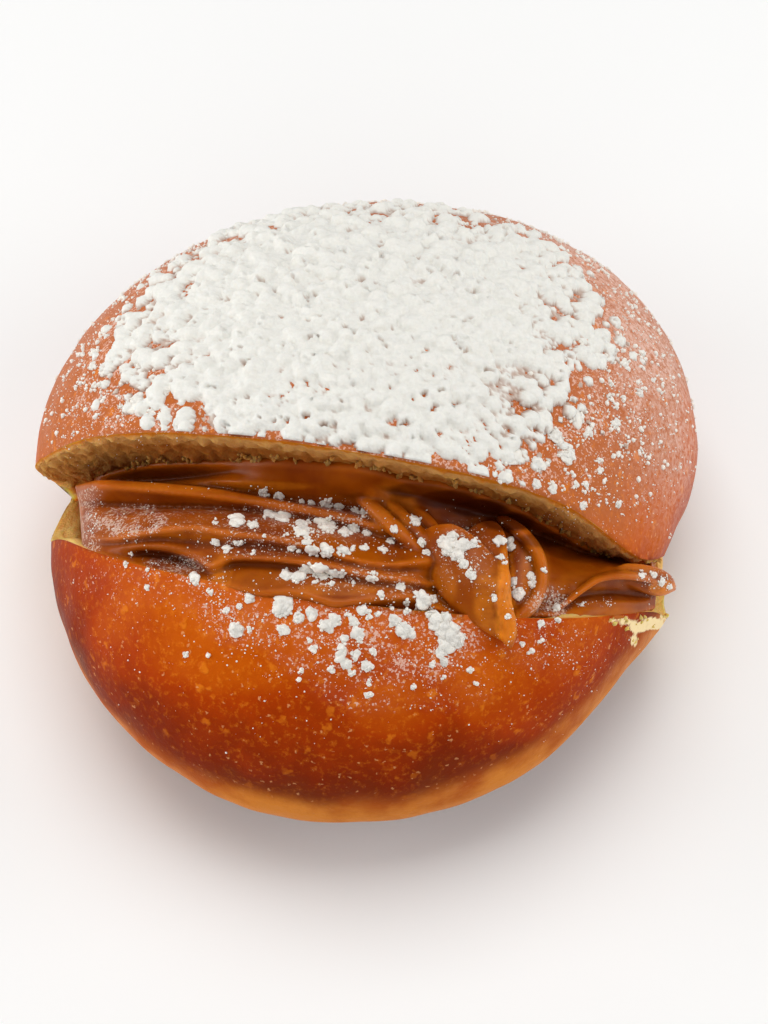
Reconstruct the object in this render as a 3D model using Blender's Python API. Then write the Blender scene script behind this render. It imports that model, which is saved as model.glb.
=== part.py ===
# Filled berliner doughnut: a round fried bun, slit from the upper front down towards its base and
# opened like a mouth, with a thick caramel filling and clumps of powdered sugar.
# Lengths in the functions are millimetres; meshes are scaled to metres when they are made.

import math
import random

import bmesh
import bpy
from mathutils import Matrix, Vector, noise
from mathutils.bvhtree import BVHTree

MM = 0.001
OBJECT_NAME = "berliner"

# The closed bun: a flattened ball about the vertical axis, with its widest ring at height 0
RADIUS = 45.0
CROWN = 32.8
BELLY = 18.1
BASE = 17.0
# Fullness of the profile, 2 being an ellipse, and how the plan departs from a circle:
# shares of the radius in cos 2a, sin 2a, cos 3a and sin 3a; lower part first, then flap
FULLNESS = (2.10, 2.15)
PLAN = ((-0.028, 0.057, -0.003, 0.004), (0.012, 0.057, 0.0, 0.015))
# Where the front right side was pressed a little flat: azimuth and width in degrees, share of radius
PRESSED = (-38.0, 20.0, 0.025)

# The slit lies in a plane that climbs towards the front
SLIT_SLOPE = math.radians(49.6)
SLIT_TURN = math.radians(3.4)
SLIT_ROLL = math.radians(5.65)
SLIT_HEIGHT = -10.6
HINGE_BACK = 6.0
SLIT_END = 11.0
# The flap turns back about the hinge, a little more at its left end, and slips to the left
OPENING = math.radians(19.4)
OPENING_TAPER = -0.0034
FLAP_SLIP = -2.0
# Angles about the slit's end between which the dough bends
BEND_START = math.radians(76.0)
BEND_END = math.radians(154.0)

# Mesh spacing of the bun: pages round the skin, rows from end to end, steps down each cut face
SKIN_PAGES = 54
ROWS = 44
FACE_STEPS = 6
PAGE_SAMPLES = 360
# How far out the skin is looked for, and how often that length is halved
FAR_OFF = 120.0
HALVINGS = 26
# Torn crumb on the cut faces: height, size of its bumps, and the smooth share at crust and foot
CRUMB_RELIEF = 0.45
CRUMB_SCALE = 3.0
CRUMB_MARGIN = 0.12
# Free space between the bun and the filling
GAP = 0.3

# Lines that run along the front of the filling, from the lower lip up to the flap. Each has a few
# stations: (span along the slit, share of the way across the mouth, depth behind the lip).
# They are edge, crest, crease, crest, crease and edge in turn.
LIP_EDGE = (
    (-42, -0.06, 4.0), (-36, -0.06, 1.5), (-30, -0.06, 3.5), (-26, -0.06, 6.5), (-21, -0.06, 3.5),
    (-17, -0.06, 1.0), (0, -0.06, 1.0), (10, -0.06, 3.0), (20, -0.06, 6.0), (26, -0.06, 2.0),
    (38, -0.06, 2.5),
)
FRONT_CREST = (
    (-42, 0.04, 4.0), (-38, 0.05, 2.5), (-35, 0.12, 2.0), (-30, 0.26, 1.8), (-25, 0.33, 1.5),
    (-10, 0.335, 1.2), (0, 0.33, 1.5), (8, 0.25, 4.0), (16, 0.12, 6.0), (22, 0.10, 5.0),
    (24.5, 0.22, 3.8), (27, 0.35, 3.2), (30, 0.405, 3.0), (38, 0.30, 3.5),
)
MIDDLE_CREASE = (
    (-42, 0.62, 7.0), (-35, 0.61, 8.0), (-24, 0.58, 9.0), (-9, 0.54, 9.0), (-2, 0.50, 9.0),
    (8, 0.50, 10.0), (14, 0.50, 8.0), (20, 0.62, 12.0), (30, 0.66, 14.0), (38, 0.70, 9.0),
)
BACK_CREST = (
    (-42, 0.84, 7.5), (-38, 0.82, 7.0), (-30, 0.745, 6.8), (-22, 0.71, 7.2), (-11, 0.63, 7.6),
    (-2, 0.57, 8.0), (6, 0.62, 9.5), (14, 0.68, 9.0), (20, 0.74, 14.0), (38, 0.80, 10.0),
)
BACK_CREASE = (
    (-42, 0.92, 12.0), (-30, 0.87, 15.0), (-22, 0.80, 12.0), (-10, 0.75, 11.5), (0, 0.72, 12.0),
    (8, 0.74, 13.0), (14, 0.80, 13.0), (20, 0.84, 18.0), (30, 0.86, 19.0), (38, 0.88, 12.0),
)
FLAP_EDGE = (
    (-42, 1.06, 16.0), (-32, 1.06, 21.0), (-24, 1.06, 17.0), (-18, 1.06, 14.0), (-8, 1.06, 14.0),
    (0, 1.06, 15.0), (10, 1.06, 18.0), (20, 1.06, 21.0), (30, 1.06, 22.0), (38, 1.06, 14.0),
)
FRONT_LINES = (LIP_EDGE, FRONT_CREST, MIDDLE_CREASE, BACK_CREST, BACK_CREASE, FLAP_EDGE)
CREST_ROUNDNESS = 1.8
# Spans between which the core of the filling lies, its end points' place in the mouth, its least
# depth, and how far it stays from the skin behind
FILLING_ENDS = (-40.5, 38.0)
FILLING_TIP = (0.45, 0.6)
LEAST_DEPTH = 1.0
# Past these spans the lips count as going straight on
LIP_SPANS = (-43.0, 38.5)
# Mesh spacing of the core: steps up its front, shares of its depth on its other sides, rows
FRONT_STEPS = 18
SIDE_SHARES = (0.66, 0.33, 0.0)
FILLING_ROWS = 32

# Lobes of filling: stations of (span, share across, depth behind the lip, radius)
LOBES = {
    "bead": (
        (-22, 0.03, 2.0, 0.5), (-20, 0.08, 0.6, 1.6), (-16, 0.12, -0.5, 2.0), (-10, 0.13, -0.8, 2.0),
        (-4, 0.13, -0.8, 2.1), (1, 0.12, -0.4, 2.0), (6, 0.08, 1.0, 1.2),
    ),
    "tongue": (
        (-1, 0.66, 8.0, 1.5), (2, 0.55, 5.0, 3.0), (6, 0.38, 1.5, 3.7), (10, 0.20, -1.5, 3.6),
        (13, 0.0, -2.4, 2.6), (15, -0.20, -1.8, 0.5),
    ),
    "loop": (
        (11.5, 0.68, 9.5, 1.6), (14.0, 0.74, 6.0, 2.0), (16.4, 0.64, 3.0, 1.9), (17.8, 0.46, 1.8, 1.9),
        (18.0, 0.29, 1.2, 1.8), (16.8, 0.12, 0.6, 1.6), (14.6, 0.0, -0.8, 1.0),
    ),
    "petal": (
        (29, 0.44, 6.0, 1.4), (33, 0.42, 3.6, 2.3), (37, 0.38, 2.0, 2.2), (39.6, 0.30, 1.0, 1.5),
        (41.4, 0.22, 0.4, 0.4),
    ),
    "bulge": (
        (22.5, 0.05, 4.5, 0.8), (26, 0.07, 2.2, 2.0), (31, 0.07, 1.6, 2.3), (35, 0.06, 2.2, 1.6),
        (37.5, 0.05, 3.5, 0.6),
    ),
}
LOBE_SIDES = 10
LOBE_ROWS = 12
# How bluntly a lobe ends, and the share of its length over which its direction is taken
LOBE_BLUNTNESS = 1.6
LOBE_STEP = 0.02

# Sugar cap on the flap, seen from above: centre and half sizes. Its edge wanders by a share of
# them and thins out over another share. Then its thickness, and the height and size of its bumps
CAP_CENTRE = (-1.0, 9.0)
CAP_HALF = (34.0, 30.0)
CAP_WANDER = 0.10
CAP_WANDER_SIZE = 6.2
CAP_FADE = 0.12
CAP_THICK = 0.8
CAP_BUMP = 0.7
CAP_BUMP_SIZE = 2.4

# Clumps of sugar, each a low ball sunk into what it lies on. Each patch is an oval seen from above:
# centre, half sizes, how much of its middle stays free, and how many clumps it has
CLUMP_SIZES = (0.8, 1.5)
CLUMP_PATCHES = (
    ((-1.0, 9.0), (37.0, 34.0), 0.80, 46),
    ((-1.5, -33.0), (15.0, 5.5), 0.0, 20),
    ((0.0, -22.0), (20.0, 7.0), 0.0, 16),
)
CLUMP_SEED = 4
CLUMP_SUNK = 0.3
# How a clump's ball is stretched along and across, and flattened
CLUMP_STRETCH = (0.85, 1.25)
CLUMP_FLATNESS = (0.65, 0.9)
# Least distance between clumps, in sizes, and the least upward tilt of the surface under one
CLUMP_SPACING = 2.4
CLUMP_UPRIGHT = 0.35

# Colours of the browned crust and of the caramel, and their roughness
FINISHES = {"bun": ((0.50, 0.17, 0.04, 1.0), 0.45), "filling": ((0.30, 0.10, 0.02, 1.0), 0.25)}

# The middle of the object's box, seen from above, which becomes the origin
BOX_MIDDLE = (-1.454, 0.559)


def slit_frame():
    """Directions along the slit, out along its plane and square to it, and the hinge's middle."""
    along = Vector((
        math.cos(SLIT_TURN) * math.cos(SLIT_ROLL),
        -math.sin(SLIT_TURN) * math.cos(SLIT_ROLL),
        -math.sin(SLIT_ROLL),
    ))
    front = Vector((-math.sin(SLIT_TURN), -math.cos(SLIT_TURN), 0.0))
    out = front * math.cos(SLIT_SLOPE) + Vector((0, 0, 1)) * math.sin(SLIT_SLOPE)
    out = (out - along * out.dot(along)).normalized()
    square = along.cross(out)
    if square.z < 0:
        square.negate()
    hinge = Vector((0, 0, SLIT_HEIGHT)) - out * HINGE_BACK
    return along, out, square, hinge


ALONG, OUT, SQUARE, HINGE = slit_frame()
HINGE_AXIS = OUT.cross(SQUARE)
SLIT_FOOT = HINGE + OUT * SLIT_END


def mix(a, b, share):
    return a + (b - a) * share


def smooth_step(x):
    x = min(max(x, 0.0), 1.0)
    return x * x * (3.0 - 2.0 * x)


def plan_radius(azimuth, flap):
    """Radius of the widest ring at an azimuth; flap is 0 for the lower part and 1 for the flap."""
    c2, s2, c3, s3 = (mix(a, b, flap) for a, b in zip(*PLAN))
    share = 1.0 + c2 * math.cos(2 * azimuth) + s2 * math.sin(2 * azimuth)
    share += c3 * math.cos(3 * azimuth) + s3 * math.sin(3 * azimuth)
    where, width, depth = PRESSED
    turn = (math.degrees(azimuth) - where) / width
    share -= depth * (1.0 - flap) * math.exp(-turn * turn)
    return RADIUS * share


def is_inside(point, flap):
    """True where a point lies in the closed bun."""
    if point.z < -BASE:
        return False
    fullness = mix(FULLNESS[0], FULLNESS[1], flap)
    ring = plan_radius(math.atan2(point.y, point.x), flap)
    height = CROWN if point.z > 0 else BELLY
    across = math.hypot(point.x, point.y) / ring
    return across ** fullness + (abs(point.z) / height) ** fullness < 1.0


def page_direction(page, lean):
    """Direction at an angle about the slit's foot, and at a lean from the slit's own direction."""
    return (
        ALONG * math.cos(lean)
        + OUT * (math.sin(lean) * math.cos(page))
        + SQUARE * (math.sin(lean) * math.sin(page))
    )


def edge_between(start, direction, inside, outside, flap):
    """Where the skin is crossed on the way from an inner to an outer distance from a start."""
    for _ in range(HALVINGS):
        middle = (inside + outside) / 2
        if is_inside(start + direction * middle, flap):
            inside = middle
        else:
            outside = middle
    return inside


def skin_distance(page, lean, flap):
    """Distance from the slit's foot to the closed bun's skin."""
    direction = page_direction(page, lean)
    return edge_between(SLIT_FOOT, direction, 0.0, FAR_OFF, flap)


def bend_share(page):
    """How far the dough at an angle about the slit follows the flap: 1 on it, 0 past the bend."""
    return smooth_step((BEND_END - page) / (BEND_END - BEND_START))


def open_up(point, share):
    """Turn a point of the closed bun back about the hinge by a share of the opening."""
    arm = point - HINGE
    span = arm.dot(ALONG)
    angle = OPENING * (1.0 + OPENING_TAPER * span) * share
    turn = Matrix.Rotation(angle, 3, HINGE_AXIS)
    return HINGE + turn @ arm + ALONG * (FLAP_SLIP * share)


def slit_ends():
    """Where the slit's foot comes out at the sides, measured along it."""
    right = skin_distance(0.0, 0.0, 0.5)
    left = skin_distance(0.0, math.pi, 0.5)
    return -left, right


SLIT_ENDS = slit_ends()


def foot_point(lean):
    """The point of the slit's foot that a lean from its right end reaches."""
    left, right = SLIT_ENDS
    return SLIT_FOOT + ALONG * mix(right, left, (1.0 - math.cos(lean)) / 2)


def sugar_cover(point):
    """Thickness of the sugar cap over a point of the flap's crust, seen from above."""
    across = (point.x - CAP_CENTRE[0]) / CAP_HALF[0]
    deep = (point.y - CAP_CENTRE[1]) / CAP_HALF[1]
    edge = 1.0 - math.hypot(across, deep)
    edge += CAP_WANDER * noise.noise(point / CAP_WANDER_SIZE)
    cover = smooth_step(edge / CAP_FADE + 0.5)
    return cover * (CAP_THICK + CAP_BUMP * noise.noise(point / CAP_BUMP_SIZE))


def crumb_relief(point, depth):
    """Height of the torn crumb on a cut face, nothing at the crust and at the foot."""
    window = smooth_step(depth / CRUMB_MARGIN) * smooth_step((1.0 - depth) / CRUMB_MARGIN)
    return CRUMB_RELIEF * window * noise.noise(point / CRUMB_SCALE)


def even_pages():
    """Page angles from the upper lip round the bun to the lower lip, evenly spaced on the skin."""
    angles = [2 * math.pi * i / PAGE_SAMPLES for i in range(PAGE_SAMPLES + 1)]
    points = []
    for angle in angles:
        share = bend_share(angle)
        reach = skin_distance(angle, math.pi / 2, share)
        points.append(SLIT_FOOT + page_direction(angle, math.pi / 2) * reach)
    run = [0.0]
    for a, b in zip(points, points[1:]):
        run.append(run[-1] + (b - a).length)
    pages = []
    step = 0
    for k in range(SKIN_PAGES + 1):
        goal = run[-1] * k / SKIN_PAGES
        while run[step + 1] < goal and step < PAGE_SAMPLES - 1:
            step += 1
        share = (goal - run[step]) / (run[step + 1] - run[step])
        pages.append(mix(angles[step], angles[step + 1], share))
    return pages


def bun_columns():
    """The columns of the bun's mesh, in order: skin pages, lower cut face, foot, flap's cut face."""
    columns = [("skin", page) for page in even_pages()]
    columns += [("lower", k / FACE_STEPS) for k in range(1, FACE_STEPS + 1)]
    columns.append(("foot", 0.5))
    columns += [("flap", k / FACE_STEPS) for k in range(FACE_STEPS, 0, -1)]
    return columns


def bun_point(kind, value, lean, grow, sugared):
    """A point of the opened bun; grow moves its surface outwards, into the mouth on cut faces."""
    if kind == "skin":
        share = bend_share(value)
        direction = page_direction(value, lean)
        reach = skin_distance(value, lean, share) + grow
        point = open_up(SLIT_FOOT + direction * reach, share)
        if sugared and share == 1.0:
            point += page_direction(value + OPENING, lean) * sugar_cover(point)
        return point
    if kind == "foot":
        return open_up(foot_point(lean), value) + OUT * grow
    flap = 0.0 if kind == "lower" else 1.0
    lip = SLIT_FOOT + page_direction(0.0, lean) * (skin_distance(0.0, lean, flap) + grow)
    point = open_up(lip.lerp(foot_point(lean), value), flap)
    normal = SQUARE if kind == "lower" else Matrix.Rotation(OPENING, 3, HINGE_AXIS) @ -SQUARE
    return point + normal * (grow + crumb_relief(point, value))


def sheet_from_ball(name, columns, rows, place, pole):
    """A closed mesh made from a ball's grid: place gives each column and row its point."""
    bm = bmesh.new()
    bmesh.ops.create_uvsphere(bm, u_segments=len(columns), v_segments=rows, radius=1.0)
    for vert in bm.verts:
        lean = vert.co.angle(Vector((0, 0, 1)))
        if len(vert.link_faces) == len(columns):
            vert.co = pole(lean) * MM
            continue
        turn = math.atan2(vert.co.y, vert.co.x) / (2 * math.pi)
        column = round(turn * len(columns)) % len(columns)
        vert.co = place(columns[column], lean) * MM
    bmesh.ops.triangulate(bm, faces=bm.faces)
    bmesh.ops.recalc_face_normals(bm, faces=bm.faces)
    return finish(name, bm)


def finish(name, bm):
    """A mesh object made from a bmesh, shaded smooth."""
    mesh = bpy.data.meshes.new(name)
    bm.to_mesh(mesh)
    bm.free()
    mesh.shade_smooth()
    return bpy.data.objects.new(name, mesh)


def make_bun(name, grow, sugared):
    """The opened bun, or with grow the same a little larger, with or without its sugar cap."""
    def place(column, lean):
        return bun_point(*column, lean, grow, sugared)

    def pole(lean):
        return open_up(foot_point(lean), 0.5) + ALONG * math.copysign(grow, math.cos(lean))

    return sheet_from_ball(name, bun_columns(), ROWS, place, pole)


def slit_reaches(span):
    """Distances from the hinge line, at a span, of the slit's inner end and of the lips."""
    start = HINGE + ALONG * min(max(span, LIP_SPANS[0]), LIP_SPANS[1])
    inside = [reach for reach in range(round(FAR_OFF)) if is_inside(start + OUT * reach, 0.5)]
    heel = edge_between(start, OUT, inside[0], inside[0] - 1.0, 0.5)
    return max(heel, SLIT_END), edge_between(start, OUT, inside[-1], inside[-1] + 1.0, 0.5)


def mouth_point(span, across, reach):
    """A point in the mouth: across is 0 on the lower cut face and 1 on the flap's."""
    angle = OPENING * (1.0 + OPENING_TAPER * span) * across
    return HINGE + ALONG * span + OUT * (reach * math.cos(angle)) + SQUARE * (reach * math.sin(angle))


def station_at(stations, place):
    """Values between stations at a place, which is their first value, on a smooth curve."""
    place = min(max(place, stations[0][0]), stations[-1][0])
    k = 0
    while k < len(stations) - 2 and stations[k + 1][0] < place:
        k += 1
    before, after = stations[k], stations[k + 1]
    share = smooth_step((place - before[0]) / (after[0] - before[0]))
    return [mix(a, b, share) for a, b in zip(before[1:], after[1:])]


def front_depth(span, across):
    """Depth of the filling's front behind the lips, from its crests and creases."""
    lines = [station_at(line, span) for line in FRONT_LINES]
    k = 0
    while k < len(lines) - 2 and lines[k + 1][0] < across:
        k += 1
    (low, low_depth), (high, high_depth) = lines[k], lines[k + 1]
    share = min(max((across - low) / (high - low), 0.0), 1.0)
    if k % 2 == 0:
        share = 1.0 - (1.0 - share) ** CREST_ROUNDNESS
    else:
        share = share ** CREST_ROUNDNESS
    return mix(low_depth, high_depth, share)


def filling_columns():
    """Columns round the filling's core: its front, flap side, inner edge and lower side."""
    low, high = LIP_EDGE[0][1], FLAP_EDGE[0][1]
    columns = [(mix(low, high, k / FRONT_STEPS), 1.0) for k in range(FRONT_STEPS + 1)]
    columns += [(high, share) for share in SIDE_SHARES]
    columns.append((mix(high, low, 0.5), 0.0))
    columns += [(low, share) for share in reversed(SIDE_SHARES)]
    return columns


def make_core():
    """The body of the filling, which fills the slit from its foot out to its folded front."""
    left, right = FILLING_ENDS

    def place(column, lean):
        across, share = column
        span = mix(right, left, (1.0 - math.cos(lean)) / 2)
        heel, lips = slit_reaches(span)
        front = max(lips - front_depth(span, across), heel + LEAST_DEPTH)
        return mouth_point(span, across, mix(heel, front, share))

    def pole(lean):
        span = right if lean < 1.0 else left
        across, share = FILLING_TIP
        return mouth_point(span, across, mix(*slit_reaches(span), share))

    return sheet_from_ball("core", filling_columns(), FILLING_ROWS, place, pole)


def curve_at(stations, share):
    """A smooth curve through stations, by share of the way from the first to the last."""
    place = share * (len(stations) - 1)
    k = min(int(place), len(stations) - 2)
    t = place - k
    ends = [stations[max(k - 1, 0)], stations[k], stations[k + 1], stations[min(k + 2, len(stations) - 1)]]
    values = []
    for p0, p1, p2, p3 in zip(*ends):
        values.append(0.5 * (
            2 * p1 + (p2 - p0) * t + (2 * p0 - 5 * p1 + 4 * p2 - p3) * t * t
            + (3 * p1 - p0 - 3 * p2 + p3) * t ** 3
        ))
    return values


def lobe_centre(stations, share):
    """The middle of a lobe, and its radius, at a share of its length."""
    span, across, depth, radius = curve_at(stations, share)
    return mouth_point(span, across, slit_reaches(span)[1] - depth), radius


def make_lobe(name, stations):
    """A tapered, rounded lobe that follows its stations."""
    sides = [2 * math.pi * k / LOBE_SIDES for k in range(LOBE_SIDES)]

    def place(side, lean):
        share = (1.0 - math.cos(lean)) / 2
        centre, radius = lobe_centre(stations, share)
        ahead, _ = lobe_centre(stations, min(share + LOBE_STEP, 1.0))
        behind, _ = lobe_centre(stations, max(share - LOBE_STEP, 0.0))
        tangent = (ahead - behind).normalized()
        first = tangent.cross(OUT).normalized()
        second = first.cross(tangent)
        swell = radius * min(1.0, LOBE_BLUNTNESS * math.sin(lean))
        return centre + (first * math.cos(side) + second * math.sin(side)) * swell

    def pole(lean):
        return lobe_centre(stations, 0.0 if lean < 1.0 else 1.0)[0]

    return sheet_from_ball(name, sides, LOBE_ROWS, place, pole)


def combine(target, operation, others):
    """Apply one Boolean with a collection of other objects, which are then removed."""
    group = bpy.data.collections.new(operation.lower())
    bpy.context.scene.collection.children.link(group)
    for other in others:
        group.objects.link(other)
    cut = target.modifiers.new(operation.lower(), "BOOLEAN")
    cut.operation = operation
    cut.operand_type = "COLLECTION"
    cut.collection = group
    cut.solver = "MANIFOLD"
    graph = bpy.context.evaluated_depsgraph_get()
    mesh = bpy.data.meshes.new_from_object(target.evaluated_get(graph))
    target.modifiers.clear()
    target.data = mesh
    for other in others:
        bpy.data.objects.remove(other, do_unlink=True)
    bpy.data.collections.remove(group)


def surface_of(obj):
    """A tree for finding points on a mesh object's surface."""
    bm = bmesh.new()
    bm.from_mesh(obj.data)
    tree = BVHTree.FromBMesh(bm)
    bm.free()
    return tree


def pick_in_patch(rng, centre, half, free_middle):
    """A random place in an oval, outside its free middle."""
    turn = rng.uniform(0.0, 2 * math.pi)
    share = math.sqrt(rng.uniform(free_middle ** 2, 1.0))
    x = centre[0] + half[0] * share * math.cos(turn)
    y = centre[1] + half[1] * share * math.sin(turn)
    return Vector((x, y, 2 * CROWN)) * MM


def make_clump(rng, spot, normal, size):
    """One clump of sugar: a low, uneven ball, sunk a little into the surface it lies on."""
    bm = bmesh.new()
    bmesh.ops.create_icosphere(bm, subdivisions=1, radius=size * MM)
    stretch = (rng.uniform(*CLUMP_STRETCH), rng.uniform(*CLUMP_STRETCH), rng.uniform(*CLUMP_FLATNESS))
    bmesh.ops.scale(bm, vec=stretch, verts=bm.verts)
    bmesh.ops.rotate(bm, matrix=Matrix.Rotation(rng.uniform(0.0, math.pi), 3, "Z"), verts=bm.verts)
    stand = Vector((0, 0, 1)).rotation_difference(normal).to_matrix()
    bmesh.ops.rotate(bm, matrix=stand, verts=bm.verts)
    bmesh.ops.translate(bm, vec=spot + normal * (size * MM * CLUMP_SUNK), verts=bm.verts)
    return finish("clump", bm)


def first_hit(start, trees):
    """The piece that lies uppermost below a start, with the spot and its normal."""
    hits = []
    for piece, tree in trees.items():
        spot, normal, _, drop = tree.ray_cast(start, Vector((0, 0, -1)))
        if spot:
            hits.append((drop, piece, spot, normal))
    return min(hits, key=lambda hit: hit[0])[1:] if hits else None


def scatter_clumps(pieces):
    """Clumps for each piece, where they land from above and stay clear of the other piece."""
    rng = random.Random(CLUMP_SEED)
    trees = {piece: surface_of(piece) for piece in pieces}
    clumps = {piece: [] for piece in pieces}
    spots = []
    for centre, half, free_middle, count in CLUMP_PATCHES:
        goal = len(spots) + count
        while len(spots) < goal:
            start = pick_in_patch(rng, centre, half, free_middle)
            size = rng.uniform(*CLUMP_SIZES)
            hit = first_hit(start, trees)
            if hit is None:
                continue
            piece, spot, normal = hit
            room = 2 * (size + GAP) * MM
            others = [tree for other, tree in trees.items() if other is not piece]
            if normal.z < CLUMP_UPRIGHT or any(tree.find_nearest(spot, room)[0] for tree in others):
                continue
            if any((spot - other).length < CLUMP_SPACING * size * MM for other in spots):
                continue
            spots.append(spot)
            clumps[piece].append(make_clump(rng, spot, normal, size))
    return clumps


def dress(obj):
    """Give an object its own material."""
    colour, roughness = FINISHES[obj.name]
    material = bpy.data.materials.new(obj.name)
    material.use_nodes = True
    shader = material.node_tree.nodes["Principled BSDF"]
    shader.inputs["Base Color"].default_value = colour
    shader.inputs["Roughness"].default_value = roughness
    shader.inputs["Metallic"].default_value = 0.0
    obj.data.materials.clear()
    obj.data.materials.append(material)


def main():
    for old in list(bpy.data.objects):
        bpy.data.objects.remove(old, do_unlink=True)
    parts = bpy.data.collections.new(OBJECT_NAME)
    bpy.context.scene.collection.children.link(parts)
    bun = make_bun("bun", 0.0, True)
    parts.objects.link(bun)
    filling = make_core()
    filling.name = "filling"
    parts.objects.link(filling)
    combine(filling, "UNION", [make_lobe(name, stations) for name, stations in LOBES.items()])
    combine(filling, "DIFFERENCE", [make_bun("mouth", GAP, False)])
    for piece, clumps in scatter_clumps((bun, filling)).items():
        combine(piece, "UNION", clumps)
    for piece in (bun, filling):
        piece.data.transform(Matrix.Translation(Vector((-BOX_MIDDLE[0], -BOX_MIDDLE[1], BASE)) * MM))
        dress(piece)


main()
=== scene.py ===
import math

import bmesh
import bpy
import numpy as np
from mathutils import Matrix, Vector, kdtree, noise
from mathutils.bvhtree import BVHTree


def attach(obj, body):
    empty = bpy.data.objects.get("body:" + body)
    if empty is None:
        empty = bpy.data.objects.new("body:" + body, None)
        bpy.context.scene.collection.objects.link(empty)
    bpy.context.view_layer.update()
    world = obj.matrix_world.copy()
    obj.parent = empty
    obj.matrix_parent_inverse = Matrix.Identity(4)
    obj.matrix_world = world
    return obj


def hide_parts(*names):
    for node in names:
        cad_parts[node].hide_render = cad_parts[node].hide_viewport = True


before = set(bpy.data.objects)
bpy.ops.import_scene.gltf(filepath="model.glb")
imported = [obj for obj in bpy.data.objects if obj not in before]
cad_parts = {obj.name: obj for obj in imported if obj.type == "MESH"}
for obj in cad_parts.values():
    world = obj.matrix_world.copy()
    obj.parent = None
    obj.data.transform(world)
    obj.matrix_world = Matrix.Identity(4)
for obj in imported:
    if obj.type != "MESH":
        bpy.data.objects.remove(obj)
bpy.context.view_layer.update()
mm = 0.001
print("frame loaded:", sorted(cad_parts))


# The bun's form has the same driving sizes as its solid

bunForm = {
    "radius": 45.0,
    "crown": 32.8,  # height above the widest ring
    "belly": 18.1,  # depth below it, if the base didn't cut that off
    "base": 17.0,
    "fullness": (2.10, 2.15),  # lower part, then flap
    "planLower": (-0.028, 0.057, -0.003, 0.004),  # cos 2a, sin 2a, cos 3a, sin 3a
    "planFlap": (0.012, 0.057, 0.0, 0.015),
    "pressed": (-38.0, 20.0, 0.025),  # azimuth, width, share of the radius
    "boxMiddle": (-1.454, 0.559),
}

slitForm = {  # angles in degrees
    "slope": 49.6,
    "turn": 3.4,
    "roll": 5.65,
    "height": -10.6,  # where the slit's plane crosses the bun's upright axis
    "hingeBack": 6.0,  # how far the hinge lies behind that place
    "end": 11.0,  # how far the slit's foot lies in front of the hinge
    "opening": 19.4,
    "taper": -0.0034,  # change of the opening for each millimetre along the hinge
    "slip": -2.0,  # how far the flap slides along the hinge
    "bend": (76.0, 154.0),  # round the foot, from where the skin goes with the flap to where it stays
}


def mixed(a, b, share):
    return a + (b - a) * share


def smoothStep(x):
    x = np.clip(x, 0.0, 1.0)
    return x * x * (3.0 - 2.0 * x)


def unit(v):
    return v / np.linalg.norm(v)


def rowsUnit(v):
    return v / np.linalg.norm(v, axis=1)[:, None]


def slitDirections():
    turn, roll, slope = (math.radians(slitForm[k]) for k in ("turn", "roll", "slope"))
    along = np.array([
        math.cos(turn) * math.cos(roll),
        -math.sin(turn) * math.cos(roll),
        -math.sin(roll),
    ])
    front = np.array([-math.sin(turn), -math.cos(turn), 0.0])
    out = front * math.cos(slope) + np.array([0.0, 0.0, math.sin(slope)])
    out = unit(out - along * out.dot(along))
    square = np.cross(along, out)
    return along, out, square * math.copysign(1.0, square[2])


along, out, square = slitDirections()
hinge = np.array([0.0, 0.0, slitForm["height"]]) - out * slitForm["hingeBack"]
hingeAxis = np.cross(out, square)
slitFoot = hinge + out * slitForm["end"]
opening = math.radians(slitForm["opening"])


def planRadius(azimuth, flap):
    terms = [mixed(a, b, flap) for a, b in zip(bunForm["planLower"], bunForm["planFlap"])]
    share = 1.0 + terms[0] * np.cos(2 * azimuth) + terms[1] * np.sin(2 * azimuth)
    share = share + terms[2] * np.cos(3 * azimuth) + terms[3] * np.sin(3 * azimuth)
    where, width, depth = bunForm["pressed"]
    turn = (np.degrees(azimuth) - where) / width
    return bunForm["radius"] * (share - depth * (1.0 - flap) * np.exp(-turn * turn))


def isInside(p, flap):
    full = mixed(bunForm["fullness"][0], bunForm["fullness"][1], flap)
    height = np.where(p[:, 2] > 0, bunForm["crown"], bunForm["belly"])
    across = np.hypot(p[:, 0], p[:, 1]) / planRadius(np.arctan2(p[:, 1], p[:, 0]), flap)
    return (p[:, 2] >= -bunForm["base"]) & (across ** full + (np.abs(p[:, 2]) / height) ** full < 1.0)


def skinReach(start, direction, flap, inside=0.0, outside=120.0):
    # how far the closed bun's skin lies from a start, in each direction
    near = np.zeros(len(direction)) + inside
    far = np.zeros(len(direction)) + outside
    for _ in range(24):  # each step halves what is left
        middle = (near + far) / 2
        within = isInside(start + direction * middle[:, None], flap)
        near = np.where(within, middle, near)
        far = np.where(within, far, middle)
    return near


def pageDirection(page, lean):
    return (
        np.outer(np.cos(lean), along)
        + np.outer(np.sin(lean) * np.cos(page), out)
        + np.outer(np.sin(lean) * np.sin(page), square)
    )


def bendShare(page):
    start, end = (math.radians(v) for v in slitForm["bend"])
    return smoothStep((end - page) / (end - start))


def openUp(p, share):
    # turns points of the closed bun back about the hinge by a share of the opening
    arm = p - hinge
    angle = opening * (1.0 + slitForm["taper"] * (arm @ along)) * share
    c, s = np.cos(angle)[:, None], np.sin(angle)[:, None]
    onAxis = np.outer(arm @ hingeAxis, hingeAxis)
    turned = arm * c + np.cross(hingeAxis, arm) * s + onAxis * (1.0 - c)
    return hinge + turned + np.outer(share * slitForm["slip"], along)


def skinPoint(page, lean, grow=0.0):
    share = bendShare(page)
    direction = pageDirection(page, lean)
    reach = skinReach(slitFoot, direction, share) + grow
    closed = slitFoot + direction * reach[:, None]
    return openUp(closed, share), closed


oneWay = np.array([along])
halfWay = np.array([0.5])
slitRight = skinReach(slitFoot, oneWay, halfWay)[0]
slitLeft = -skinReach(slitFoot, -oneWay, halfWay)[0]


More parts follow.
